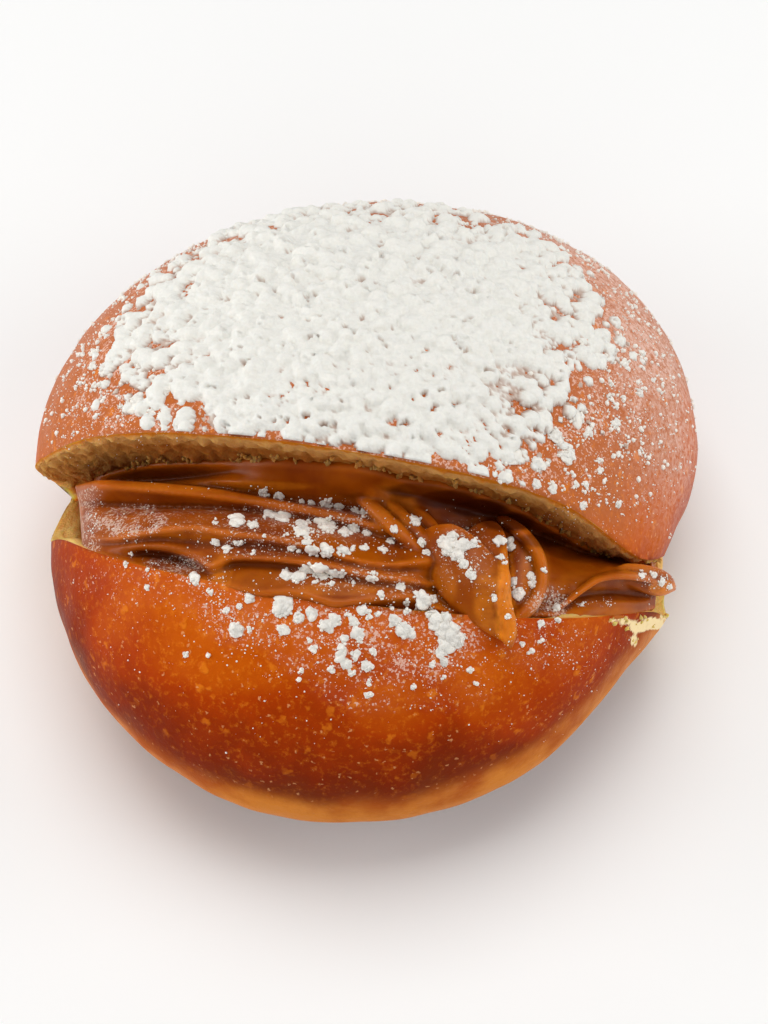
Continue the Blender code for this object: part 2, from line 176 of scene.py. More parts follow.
def footPoint(lean):
    where = mixed(slitRight, slitLeft, (1.0 - np.cos(lean)) / 2)
    return slitFoot + np.outer(where, along)


# reach of the slit's inner end and of the lips, by span along the hinge
spanTable = np.linspace(-43.0, 38.5, 330)


def tabulateReaches():
    starts = hinge + np.outer(spanTable, along)
    half = np.full(len(spanTable), 0.5)
    steps = np.arange(0.0, 70.0, 0.5)
    within = np.array([isInside(starts + out * step, half) for step in steps])
    first = steps[np.argmax(within, axis=0)]
    last = steps[len(steps) - 1 - np.argmax(within[::-1], axis=0)]
    outward = np.repeat(out[None, :], len(spanTable), axis=0)
    heel = skinReach(starts, outward, half, first, first - 0.5)
    lips = skinReach(starts, outward, half, last, last + 0.5)
    return np.maximum(heel, slitForm["end"]), lips


heelTable, lipTable = tabulateReaches()


def heelReach(span):
    return np.interp(span, spanTable, heelTable)


def lipReach(span):
    return np.interp(span, spanTable, lipTable)


def mouthPoint(span, across, reach):
    # across is 0 on the lower cut face and 1 on the flap's
    angle = opening * (1.0 + slitForm["taper"] * span) * across
    return (
        hinge
        + np.outer(span, along)
        + np.outer(reach * np.cos(angle), out)
        + np.outer(reach * np.sin(angle), square)
    )


# Small local moves of the bun: centre and move along, outwards and square to the slit, radius,
# and shares on the lower part and on the flap
nudges = (
    ((-44.6, 10.5, 3.6), (3.4, 0.0, 0.0), 3.6, (1, 1)),
    ((-44.4, 20.5, -0.5), (-0.1, 0.0, -2.1), 4.6, (1, 0)),
    ((-43.6, 11.5, -0.5), (-0.6, 0.0, 2.6), 3.0, (1, 0)),
    ((-45.5, 26.0, 11.0), (0.0, 0.0, -0.8), 6.0, (0, 1)),
    ((32.0, 34.0, 10.0), (-0.6, 0.0, -3.6), 8.5, (0, 1)),
    ((38.5, 19.0, 6.0), (-1.5, 0.0, 0.0), 6.0, (0, 1)),
    ((35.9, 11.0, 1.8), (4.0, 0.0, 0.0), 3.6, (1, 1)),
    ((39.0, 22.0, 0.0), (-0.2, 0.0, -2.6), 5.5, (1, 0)),
)


def nudged(p, share):
    total = p.copy()
    axes = np.array([along, out, square])
    for centre, move, radius, sides in nudges:
        far = np.linalg.norm(p - hinge - np.array(centre) @ axes, axis=1) / radius
        total += np.outer(np.exp(-far * far / 2) * mixed(*sides, share), np.array(move) @ axes)
    return total


def toFrame(p):
    # from the closed bun's own place to the frame, in metres
    return (p + np.array([-bunForm["boxMiddle"][0], -bunForm["boxMiddle"][1], bunForm["base"]])) * mm


def fbm(points, size, octaves=3, seed=0.0):
    # soft noise of about -1 to 1, with bumps of a size in millimetres
    shift = Vector((seed * 17.3, seed * 5.1, -seed * 9.7))
    total = np.zeros(len(points))
    strength, scale = 1.0, 1.0 / size
    for _ in range(octaves):
        total += strength * np.array([noise.noise(Vector(q) * scale + shift) for q in points])
        strength *= 0.5
        scale *= 2.1
    return total


# The camera stands where the photograph was taken from, and places read from the picture go through it
view = {
    "elevation": 57.1,
    "roll": 0.76,
    "distance": 304.1,
    "focalPixels": 2213.8,
    "middle": (379.7, 506.1),  # where the bun's own middle falls in the picture, in pixels
    "picture": (768, 1024),
    "sensor": 36.0,
}


def cameraTurn():
    elevation, roll = math.radians(view["elevation"]), math.radians(view["roll"])
    back = np.array([0.0, -math.cos(elevation), math.sin(elevation)])
    right = np.array([1.0, 0.0, 0.0])
    up = np.array([0.0, math.sin(elevation), math.cos(elevation)])
    turnedRight = right * math.cos(roll) + up * math.sin(roll)
    turnedUp = up * math.cos(roll) - right * math.sin(roll)
    return turnedRight, turnedUp, back


viewRight, viewUp, viewBack = cameraTurn()
viewPlace = toFrame(np.zeros((1, 3)))[0] + viewBack * view["distance"] * mm


def newObject(name, data):
    made = bpy.data.objects.new(name, data)
    bpy.context.scene.collection.objects.link(made)
    return made


def makeCamera():
    data = bpy.data.cameras.new("camera")
    camera = newObject("camera", data)
    turn = Matrix((viewRight, viewUp, viewBack)).transposed().to_4x4()
    camera.matrix_world = Matrix.Translation(viewPlace) @ turn
    width, height = view["picture"]
    data.sensor_width = view["sensor"]
    data.lens = view["sensor"] * view["focalPixels"] / height
    data.shift_x = (width / 2 - view["middle"][0]) / height
    data.shift_y = (view["middle"][1] - height / 2) / height
    data.clip_start, data.clip_end = 0.01, 10.0
    bpy.context.scene.camera = camera


def pictureOf(p):
    # where places in the frame fall in the picture, in pixels
    arm = p - viewPlace
    away = -(arm @ viewBack)
    across = view["middle"][0] + view["focalPixels"] * (arm @ viewRight) / away
    down = view["middle"][1] - view["focalPixels"] * (arm @ viewUp) / away
    return across, down


def sightLine(across, down):
    line = (
        viewRight * (across - view["middle"][0]) / view["focalPixels"]
        - viewUp * (down - view["middle"][1]) / view["focalPixels"]
        - viewBack
    )
    return Vector(unit(line))


def spotted(p, spots):
    # 0 to 1 near spots of the picture: (across, down, half width, half height, strength)
    across, down = pictureOf(p)
    total = np.zeros(len(p))
    for u, v, halfWidth, halfHeight, strength in spots:
        far = ((across - u) / halfWidth) ** 2 + ((down - v) / halfHeight) ** 2
        total = np.maximum(total, strength * smoothStep(1.6 - far))
    return total


makeCamera()
print("camera set")


# Small helpers for meshes and materials

def placesOf(bm):
    return np.array([v.co for v in bm.verts])


def newBall(columns, rows):
    # a ball, and the column number, lean and pole flag of its vertices before they are moved
    bm = bmesh.new()
    bmesh.ops.create_uvsphere(bm, u_segments=columns, v_segments=rows, radius=1.0)
    co = placesOf(bm)
    lean = np.arccos(np.clip(co[:, 2], -1.0, 1.0))
    column = np.round(np.arctan2(co[:, 1], co[:, 0]) / (2 * math.pi) * columns).astype(int) % columns
    pole = np.array([len(v.link_faces) == columns for v in bm.verts])
    return bm, column, lean, pole


def moveVerts(bm, places):
    for v, p in zip(bm.verts, places):
        v.co = p


def pieceOf(name, mesh, materials):
    mesh.shade_smooth()
    for material in materials:
        mesh.materials.append(material)
    return newObject(name, mesh)


def makePiece(name, bm, materials):
    mesh = bpy.data.meshes.new(name)
    bm.to_mesh(mesh)
    bm.free()
    return pieceOf(name, mesh, materials)


def paint(piece, name, values):
    layer = piece.data.attributes.new(name, "FLOAT", "POINT")
    layer.data.foreach_set("value", np.asarray(values, np.float32))


def readVerts(piece, what):
    # places ("co") or normals ("normal") of all vertices
    values = np.empty(len(piece.data.vertices) * 3, np.float32)
    piece.data.vertices.foreach_get(what, values)
    return values.reshape(-1, 3).astype(float)


def newMaterial(name):
    material = bpy.data.materials.new(name)
    material.use_nodes = True
    tree = material.node_tree
    return material, tree, tree.nodes["Principled BSDF"]


def setInputs(tree, made, inputs):
    # an output of another node is linked, and anything else is the input's own value
    for key, value in inputs.items():
        if isinstance(value, bpy.types.NodeSocket):
            tree.links.new(value, made.inputs[key])
        else:
            made.inputs[key].default_value = value


def node(tree, kind, inputs=None, **settings):
    made = tree.nodes.new("ShaderNode" + kind)
    for key, value in settings.items():
        setattr(made, key, value)
    setInputs(tree, made, inputs or {})
    return made


def painted(tree, name):
    return node(tree, "Attribute", attribute_name=name).outputs["Fac"]


def ramp(tree, fac, stops):
    made = node(tree, "ValToRGB", {"Fac": fac})
    points = made.color_ramp.elements
    points[0].position, points[0].color = stops[0][0], (*stops[0][1], 1.0)
    points[1].position, points[1].color = stops[-1][0], (*stops[-1][1], 1.0)
    for place, colour in stops[1:-1]:
        points.new(place).color = (*colour, 1.0)
    return made.outputs["Color"]


def remap(tree, value, low, high, toLow=0.0, toHigh=1.0, smooth=False):
    made = node(tree, "MapRange", {0: value, 1: low, 2: high, 3: toLow, 4: toHigh})
    made.interpolation_type = "SMOOTHSTEP" if smooth else "LINEAR"
    return made.outputs[0]


def blendColour(tree, fac, a, b):
    a, b = ((*value, 1.0) if isinstance(value, tuple) else value for value in (a, b))
    return node(tree, "Mix", {0: fac, 6: a, 7: b}, data_type="RGBA").outputs[2]


def blendValue(tree, fac, a, b):
    return node(tree, "Mix", {0: fac, 2: a, 3: b}).outputs[0]


def maths(tree, operation, a, b):
    return node(tree, "Math", {0: a, 1: b}, operation=operation).outputs[0]


def noiseTexture(tree, size, detail=3.0, roughness=0.5):
    place = node(tree, "TexCoord").outputs["Object"]
    values = {"Vector": place, "Scale": 1.0 / (size * mm), "Detail": detail, "Roughness": roughness}
    return node(tree, "TexNoise", values).outputs["Fac"]


def bump(tree, shader, height, distance, strength):
    made = node(tree, "Bump", {"Height": height, "Distance": distance * mm, "Strength": strength})
    tree.links.new(made.outputs[0], shader.inputs["Normal"])


def dustOn(tree, colour, roughness, dust, size, white):
    # fine grains of sugar in loose patches, more of them where the dust is high
    broken = remap(tree, noiseTexture(tree, size * 6.0, 4.0, 0.6), 0.35, 0.65, 0.25, 1.3)
    dust = maths(tree, "MULTIPLY", dust, broken)
    grains = maths(tree, "ADD", noiseTexture(tree, size, 3.0, 0.6), maths(tree, "MULTIPLY", dust, 0.22))
    share = maths(tree, "MULTIPLY", remap(tree, grains, 0.66, 0.74), remap(tree, dust, 0.02, 0.2))
    veil = maths(tree, "MAXIMUM", maths(tree, "MULTIPLY", share, 0.85), maths(tree, "MULTIPLY", dust, 0.06))
    return blendColour(tree, veil, colour, white), blendValue(tree, veil, roughness, 0.9)


# The bun: browned crust outside, torn crumb on both cut faces

bunLook = {
    "skinPages": 230,
    "faceSteps": 50,
    "rows": 260,
    "faceCrowding": 1.7,  # columns crowd towards the lips
    "faceEnd": 0.985,  # how near a cut face's last column comes to the foot
    "skinWaves": (0.28, 9.0),  # height and size
    "crumbCoarse": (0.80, 2.0),
    "crumbFine": (0.30, 0.8),
    "crumbFrom": 1.2,  # depth behind the lips where the cut faces are torn in full
    "lowerSunk": 1.1,  # how far the lower cut face sags behind its lip
    "sunkSpans": (-38.0, 22.0),
    "crustDeep": (0.175, 0.024, 0.0020),
    "crustRed": (0.212, 0.018, 0.0002),
    "crustMain": (0.405, 0.041, 0.0002),
    "crustHigh": (0.570, 0.100, 0.0015),
    "crustFlap": (0.480, 0.124, 0.0300),
    "crustLight": (0.780, 0.210, 0.0100),
    # colour of the painted glints
    "glintHighlight": (0.860, 0.400, 0.1600),
    "hazeAndSheen": (0.900, 0.640, 0.540),
    "band": (0.430, 0.085, 0.0050),
    "bandWarm": (0.660, 0.215, 0.0240),
    "bandPale": (0.960, 0.640, 0.2200),
    "dusted": (0.780, 0.500, 0.400),
    "crumb": (0.70, 0.355, 0.105),
    "crumbShaded": (0.36, 0.115, 0.016),
    "cream": (1.00, 0.79, 0.44),
    "litYellow": (1.00, 0.66, 0.19),
    "rind": (0.58, 0.17, 0.006),
    "bandWidth": 9.0,
    "bandEdge": (0.84, 2.2, -3.1),  # height, and tilt in cos and sin of the azimuth
    "flapBand": 4.5,  # how much lower the band lies on the flap
    "paleEnds": (4.2, 6.5),  # how far the pale skin reaches at the slit's left and right ends
    "paleLevel": -4.0,  # where it lies in the band
    "patchSize": 8.0,
    "freckleSize": 0.9,
    "blisters": (2.6, 0.30, 0.5),  # size of a cell, radius in it, share of the cells
    "paintedGlints": (1.1, 0.22, 0.45),
    "gloss": (0.34, 0.5),  # least and most roughness
    "shine": 0.03,
    "crumbShadeDepth": (0.8, 5.6),  # where the painted shade deep in the cut starts, and where it is darkest
    "rindDepth": (0.95, 0.35),  # where the rind at a lip ends, and where it is full
}

# Spots of the picture: across, down, half width, half height, strength
bunSpots = {
    "dust": (
        (250, 612, 50, 34, 0.55), (330, 635, 60, 42, 0.6), (420, 635, 60, 46, 0.65), (370, 676, 60, 34, 0.4),
        (140, 578, 70, 24, 0.25), (205, 590, 36, 24, 0.4), (540, 645, 44, 26, 0.35), (440, 680, 60, 30, 0.25),
        (590, 660, 50, 40, 0.12), (90, 620, 40, 60, 0.1),
    ),
    "torn": (
        (598, 619, 16, 2, 0.5), (622, 621, 12, 3, 0.9), (638, 627, 9, 6, 0.95), (652, 624, 12, 6, 1.0),
        (668, 616, 8, 5, 0.9), (634, 640, 4, 6, 0.8),
    ),
    # painted light: lighter patches of crust, put where it lies in more light
    "paintedLight": (
        (150, 640, 60, 45, 0.4), (540, 690, 90, 50, 0.9), (610, 655, 50, 50, 0.9), (400, 710, 50, 30, 0.5),
        (240, 650, 90, 40, 0.35), (480, 650, 60, 40, 0.5),
    ),
    # pale cut crumb and skin; the yellow is brightened past its own colour as painted light where they lie in
    # shade
    "cream": (
        (88, 462, 62, 16, 0.1), (62, 545, 18, 10, 0.9), (78, 551, 14, 6, 0.8), (62, 515, 18, 30, 0.9),
        (655, 570, 16, 9, 0.9), (640, 627, 34, 12, 0.9), (660, 600, 16, 30, 0.9), (548, 620, 60, 7, 0.5),
    ),
}


# Hazes of sugar dust with a painted sheen on the flap's sides: place from the bun's middle, radius, strength
hazeAndSheenPlaces = (
    (31, 29, 17, 14, 0.50), (38, 14, 18, 14, 0.50), (42, 3, 15, 12, 0.42), (-34, 20, 17, 12, 0.10),
)


def bunColumns():
    # even pages round the skin, then both cut faces and the foot between them
    angles = np.linspace(0.0, 2 * math.pi, 721)
    line = skinPoint(angles, np.full(len(angles), math.pi / 2))[1]
    run = np.concatenate([[0.0], np.cumsum(np.linalg.norm(np.diff(line, axis=0), axis=1))])
    pages = np.interp(np.linspace(0.0, run[-1], bunLook["skinPages"]), run, angles)
    steps = (np.arange(1, bunLook["faceSteps"] + 1) / bunLook["faceSteps"]) ** bunLook["faceCrowding"]
    steps = steps * bunLook["faceEnd"]
    kinds = ["skin"] * len(pages) + ["lower"] * len(steps) + ["foot"] + ["flap"] * len(steps)
    values = np.concatenate([pages, steps, [0.5], steps[::-1]])
    return np.array(kinds), values


def bunPlaces(kind, value, lean, pole):
    # places on the opened and on the closed bun, and how deep they lie in a cut face
    closed = footPoint(lean)
    places = openUp(closed, np.full(len(lean), 0.5))
    closed[pole] = places[pole]
    depth = np.zeros(len(lean))
    on = (kind == "skin") & ~pole
    places[on], closed[on] = skinPoint(value[on], lean[on])
    for name, share in (("lower", 0.0), ("flap", 1.0)):
        on = (kind == name) & ~pole
        flat = np.zeros(on.sum())
        outward = pageDirection(flat, lean[on])
        lip = slitFoot + outward * skinReach(slitFoot, outward, flat + share)[:, None]
        foot = footPoint(lean[on])
        closed[on] = lip + (foot - lip) * value[on][:, None]
        places[on] = openUp(closed[on], flat + share)
        depth[on] = np.linalg.norm(foot - lip, axis=1) * value[on]
    return places, closed, depth


def bunRelief(places, kind, depth, pole):
    # torn crumb on the cut faces, and soft waves on the skin
    coarseHeight, coarseSize = bunLook["crumbCoarse"]
    fineHeight, fineSize = bunLook["crumbFine"]
    left, right = bunLook["sunkSpans"]
    whole = np.array([1.0])
    flapNormal = openUp(hinge - square[None, :], whole)[0] - openUp(hinge[None, :], whole)[0]
    for name, normal in (("lower", square), ("flap", flapNormal)):
        on = (kind == name) & ~pole
        here = places[on]
        relief = coarseHeight * np.abs(fbm(here, coarseSize, 2, 1.0))
        relief += fineHeight * fbm(here, fineSize, 2, 2.0)
        if name == "lower":
            span = (here - hinge) @ along
            middle = smoothStep((span - left) / 3.0) * smoothStep((right - span) / 4.0)
            relief = 0.5 * relief - bunLook["lowerSunk"] * middle
        window = smoothStep(depth[on] / bunLook["crumbFrom"])
        places[on] = here + normal * (window * relief)[:, None]
    on = kind == "skin"
    height, size = bunLook["skinWaves"]
    here = places[on]
    waves = height * fbm(here, size, 2, 3.0) * smoothStep((here[:, 2] + bunForm["base"]) / 3.0)
    places[on] = here + rowsUnit(here - slitFoot) * waves[:, None]


def bandLevels(closed, flapShare):
    # height above the pale band, and nearness to the pale skin at the slit's two ends
    azimuth = np.arctan2(closed[:, 1], closed[:, 0])
    edge, tiltX, tiltY = bunLook["bandEdge"]
    above = closed[:, 2] - (edge + tiltX * np.cos(azimuth) + tiltY * np.sin(azimuth))
    above = above + bunLook["flapBand"] * flapShare
    paleEnd = np.zeros(len(above))
    for end, reach in zip((slitLeft, slitRight), bunLook["paleEnds"]):
        far = np.linalg.norm(closed - slitFoot - along * end, axis=1) / reach
        near = np.exp(-far * far)
        above = mixed(above, bunLook["paleLevel"], near)
        paleEnd = np.maximum(paleEnd, near)
    return above, paleEnd


def makeBun():
    kinds, values = bunColumns()
    bm, column, lean, pole = newBall(len(kinds), bunLook["rows"])
    kind, value = kinds[column], values[column]
    places, closed, depth = bunPlaces(kind, value, lean, pole)
    bunRelief(places, kind, depth, pole)
    onSkin = np.where(kind == "skin", bendShare(value), 0.0)
    share = onSkin + 0.5 * (kind == "foot") + 1.0 * (kind == "flap")
    moveVerts(bm, toFrame(nudged(places, np.where(pole, 0.5, share))))
    for face in bm.faces:
        if any(kind[v.index] != "skin" and not pole[v.index] for v in face.verts):
            face.material_index = 1
    bmesh.ops.recalc_face_normals(bm, faces=bm.faces)
    above, paleEnd = bandLevels(closed, onSkin)
    piece = makePiece("bunCrust", bm, [crustMaterial(), crumbMaterial()])
    paintings = {"aboveBand": above, "paleEnd": paleEnd, "flapShare": share, "cutDepth": depth}
    for name, painting in paintings.items():
        paint(piece, name, painting)
    return piece


def speckles(tree, size, radius, share):
    # irregular little spots, one in a share of the cells, which have a size in millimetres
    place = node(tree, "TexCoord").outputs["Object"]
    swirl = node(tree, "TexNoise", {"Vector": place, "Scale": 2.2 / (size * mm), "Detail": 2.0})
    moved = node(tree, "VectorMath", {0: swirl.outputs["Color"], 3: 0.9 * size * mm}, operation="SCALE")
    place = node(tree, "VectorMath", {0: place, 1: moved.outputs[0]}, operation="ADD").outputs[0]
    cells = node(tree, "TexVoronoi", {"Vector": place, "Scale": 1.0 / (size * mm)})
    spots = remap(tree, cells.outputs["Distance"], radius, radius * 0.5)
    chance = node(tree, "SeparateColor", {0: cells.outputs["Color"]}).outputs[0]
    return maths(tree, "MULTIPLY", spots, remap(tree, chance, 1.0 - share, 1.04 - share))


def crustMaterial():
    material, tree, shader = newMaterial("brownedCrust")
    wobble = remap(tree, noiseTexture(tree, 7.0, 4.0), 0.0, 1.0, -1.6, 1.6)
    level = maths(tree, "ADD", painted(tree, "aboveBand"), wobble)
    # painted light: the crust is lightened where it lies in more light
    paintedLight = maths(tree, "MULTIPLY", painted(tree, "paintedLight"), 0.28)
    flap = maths(tree, "MULTIPLY", painted(tree, "flapShare"), 0.45)
    patches = noiseTexture(tree, bunLook["patchSize"], 5.0, 0.62)
    browning = remap(tree, level, 0.0, 30.0)
    for more in (paintedLight, flap, remap(tree, patches, 0.3, 0.7, -0.12, 0.12)):
        browning = maths(tree, "ADD", browning, more)
    colour = ramp(tree, browning, (
        (0.0, bunLook["crustDeep"]), (0.14, bunLook["crustRed"]), (0.46, bunLook["crustMain"]),
        (0.75, bunLook["crustHigh"]), (1.0, bunLook["crustFlap"]),
    ))

    marked = remap(tree, browning, 0.05, 0.5, 0.2, 0.6)
    freckles = remap(tree, noiseTexture(tree, bunLook["freckleSize"], 5.0, 0.7), 0.53, 0.72)
    colour = blendColour(tree, maths(tree, "MULTIPLY", freckles, marked), colour, bunLook["crustLight"])
    blisters = maths(tree, "MULTIPLY", speckles(tree, *bunLook["blisters"]), marked)
    colour = blendColour(tree, blisters, colour, bunLook["crustLight"])
    # painted highlight: tiny pale glints, as off shiny bumps
    paintedGlints = maths(tree, "MULTIPLY", speckles(tree, *bunLook["paintedGlints"]), 0.55)
    colour = blendColour(tree, paintedGlints, colour, bunLook["glintHighlight"])

    under = -bunLook["bandWidth"]
    inBand = maths(
        tree, "MULTIPLY",
        remap(tree, level, 2.2, -2.2, smooth=True),
        remap(tree, level, under - 2.5, under + 1.0, smooth=True),
    )
    warmth = maths(tree, "ADD", level, remap(tree, patches, 0.3, 0.7, -4.0, 4.0))
    bandTone = blendColour(tree, remap(tree, warmth, 0.5, -5.5), bunLook["band"], bunLook["bandWarm"])
    paleEnd = remap(tree, painted(tree, "paleEnd"), 0.0, 1.0, 0.0, 0.85)
    bandTone = blendColour(tree, paleEnd, bandTone, bunLook["bandPale"])
    colour = blendColour(tree, inBand, colour, bandTone)

    ragged = remap(tree, noiseTexture(tree, 0.9, 5.0, 0.7), 0.3, 0.7, -0.4, 0.4)
    bare = remap(tree, maths(tree, "ADD", painted(tree, "torn"), ragged), 0.35, 0.75)
    colour = blendColour(tree, bare, colour, bunLook["cream"])
    gloss = remap(tree, noiseTexture(tree, 4.0, 3.0), 0.3, 0.7, *bunLook["gloss"])
    gloss = blendValue(tree, bare, gloss, 0.9)
    # painted sheen with sugar dust: a pale pinkish haze on the flap's sides
    broken = remap(tree, noiseTexture(tree, 0.8, 5.0, 0.75), 0.38, 0.62, 0.15, 1.7)
    hazeAndSheen = maths(tree, "MULTIPLY", painted(tree, "hazeAndSheen"), broken)
    colour = blendColour(tree, hazeAndSheen, colour, bunLook["hazeAndSheen"])
    colour, gloss = dustOn(tree, colour, gloss, painted(tree, "dust"), 0.42, bunLook["dusted"])
    setInputs(tree, shader, {
        "Base Color": colour,
        "Roughness": gloss,
        "Specular IOR Level": bunLook["shine"],
    })
    grain = maths(tree, "ADD", noiseTexture(tree, 0.9, 4.0, 0.6), maths(tree, "ADD", blisters, paintedGlints))
    grain = maths(tree, "ADD", grain, maths(tree, "MULTIPLY", bare, noiseTexture(tree, 0.7, 4.0, 0.7)))
    bump(tree, shader, grain, 0.14, 0.7)
    return material


def crumbMaterial():
    material, tree, shader = newMaterial("tornCrumb")
    wobble = remap(tree, noiseTexture(tree, 1.6, 3.0), 0.0, 1.0, -0.5, 0.5)
    level = maths(tree, "ADD", painted(tree, "cutDepth"), wobble)
    uneven = remap(tree, noiseTexture(tree, 2.2, 4.0, 0.6), 0.35, 0.7, -0.15, 0.35)
    # painted shade: the crumb darkens deeper in the cut, where shade falls, with uneven patches
    patches = maths(tree, "ADD", remap(tree, level, *bunLook["crumbShadeDepth"]), uneven)
    colour = blendColour(tree, patches, bunLook["crumb"], bunLook["crumbShaded"])
    # pale yellow crumb, brightened as painted light where it lies in shade
    cream = painted(tree, "cream")
    colour = blendColour(tree, cream, colour, bunLook["litYellow"])
    rind = maths(tree, "SUBTRACT", remap(tree, level, *bunLook["rindDepth"]), cream)
    colour = blendColour(tree, remap(tree, rind, 0.0, 1.0), colour, bunLook["rind"])
    setInputs(tree, shader, {
        "Base Color": colour,
        "Roughness": 0.9,
        "Specular IOR Level": 0.1,
        "Subsurface Weight": 0.5,
        "Subsurface Radius": (1.0, 0.45, 0.15),
        "Subsurface Scale": 0.0025,
    })
    bump(tree, shader, noiseTexture(tree, 0.5, 4.0, 0.7), 0.5, 0.8)
    return material


bun = makeBun()
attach(bun, "root")
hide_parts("bun")
print("bun:", len(bun.data.polygons), "faces")


# The caramel is a body that fills the slit, with folded ridges at its front and torn lobes on it
caramel = {
    "ends": (-39.5, 36.0),
    "slant": (-3.6, 0.68),  # how much further the left end reaches towards the flap, and up to what share
    "endWaves": (0.55, 4.0),
    "corner": (-38.2, 0.75),  # left of this span the front falls back by this much for each millimetre
    "tip": (0.45, 0.6),
    "lowest": -0.12,
    "highest": 1.08,
    "frontSteps": 150,
    "sideShares": (0.97, 0.9, 0.8, 0.66, 0.5, 0.33, 0.16, 0.0),
    "backShares": (0.2, 0.4, 0.6, 0.8),
    "rows": 330,
    "voxel": 0.27,
    "kept": 0.58,  # share of the faces that is kept, most of them where it bends
    "blur": 0.007,  # softens the ridges, as a share across the mouth
    "leastGap": 0.006,  # between two lines along the front
    "mouthHeight": 17.0,  # millimetres across the mouth, for the size of the waves there
    "grain": (0.11, 0.055, 0.045),  # height, then change along the span and across
    "waves": (0.20, 5.0),
    "lobeSides": 40,
    "lobeRows": 60,
    "main": (0.370, 0.078, 0.0014),
    "dark": (0.225, 0.036, 0.0006),
    # golden where the caramel is thin, with painted glow and highlight where it catches the light
    "goldenAndLit": (0.800, 0.240, 0.0120),
    # painted highlight on the crests, where the caramel is also thinner
    "crest": (0.600, 0.150, 0.0080),
    # painted shade: the dark colour put in creases and where the caramel lies in deep shadow
    "deep": (0.075, 0.009, 0.0004),
    "dusted": (0.620, 0.430, 0.340),
    "patchSize": 6.0,
    "gloss": (0.26, 0.42),  # least and most roughness
    "shine": 0.11,
    "crestBend": 0.016,  # bend of a full crest, in millimetres over one step of the mesh
    "bendBlur": (5, 0.7),  # rounds and share
}

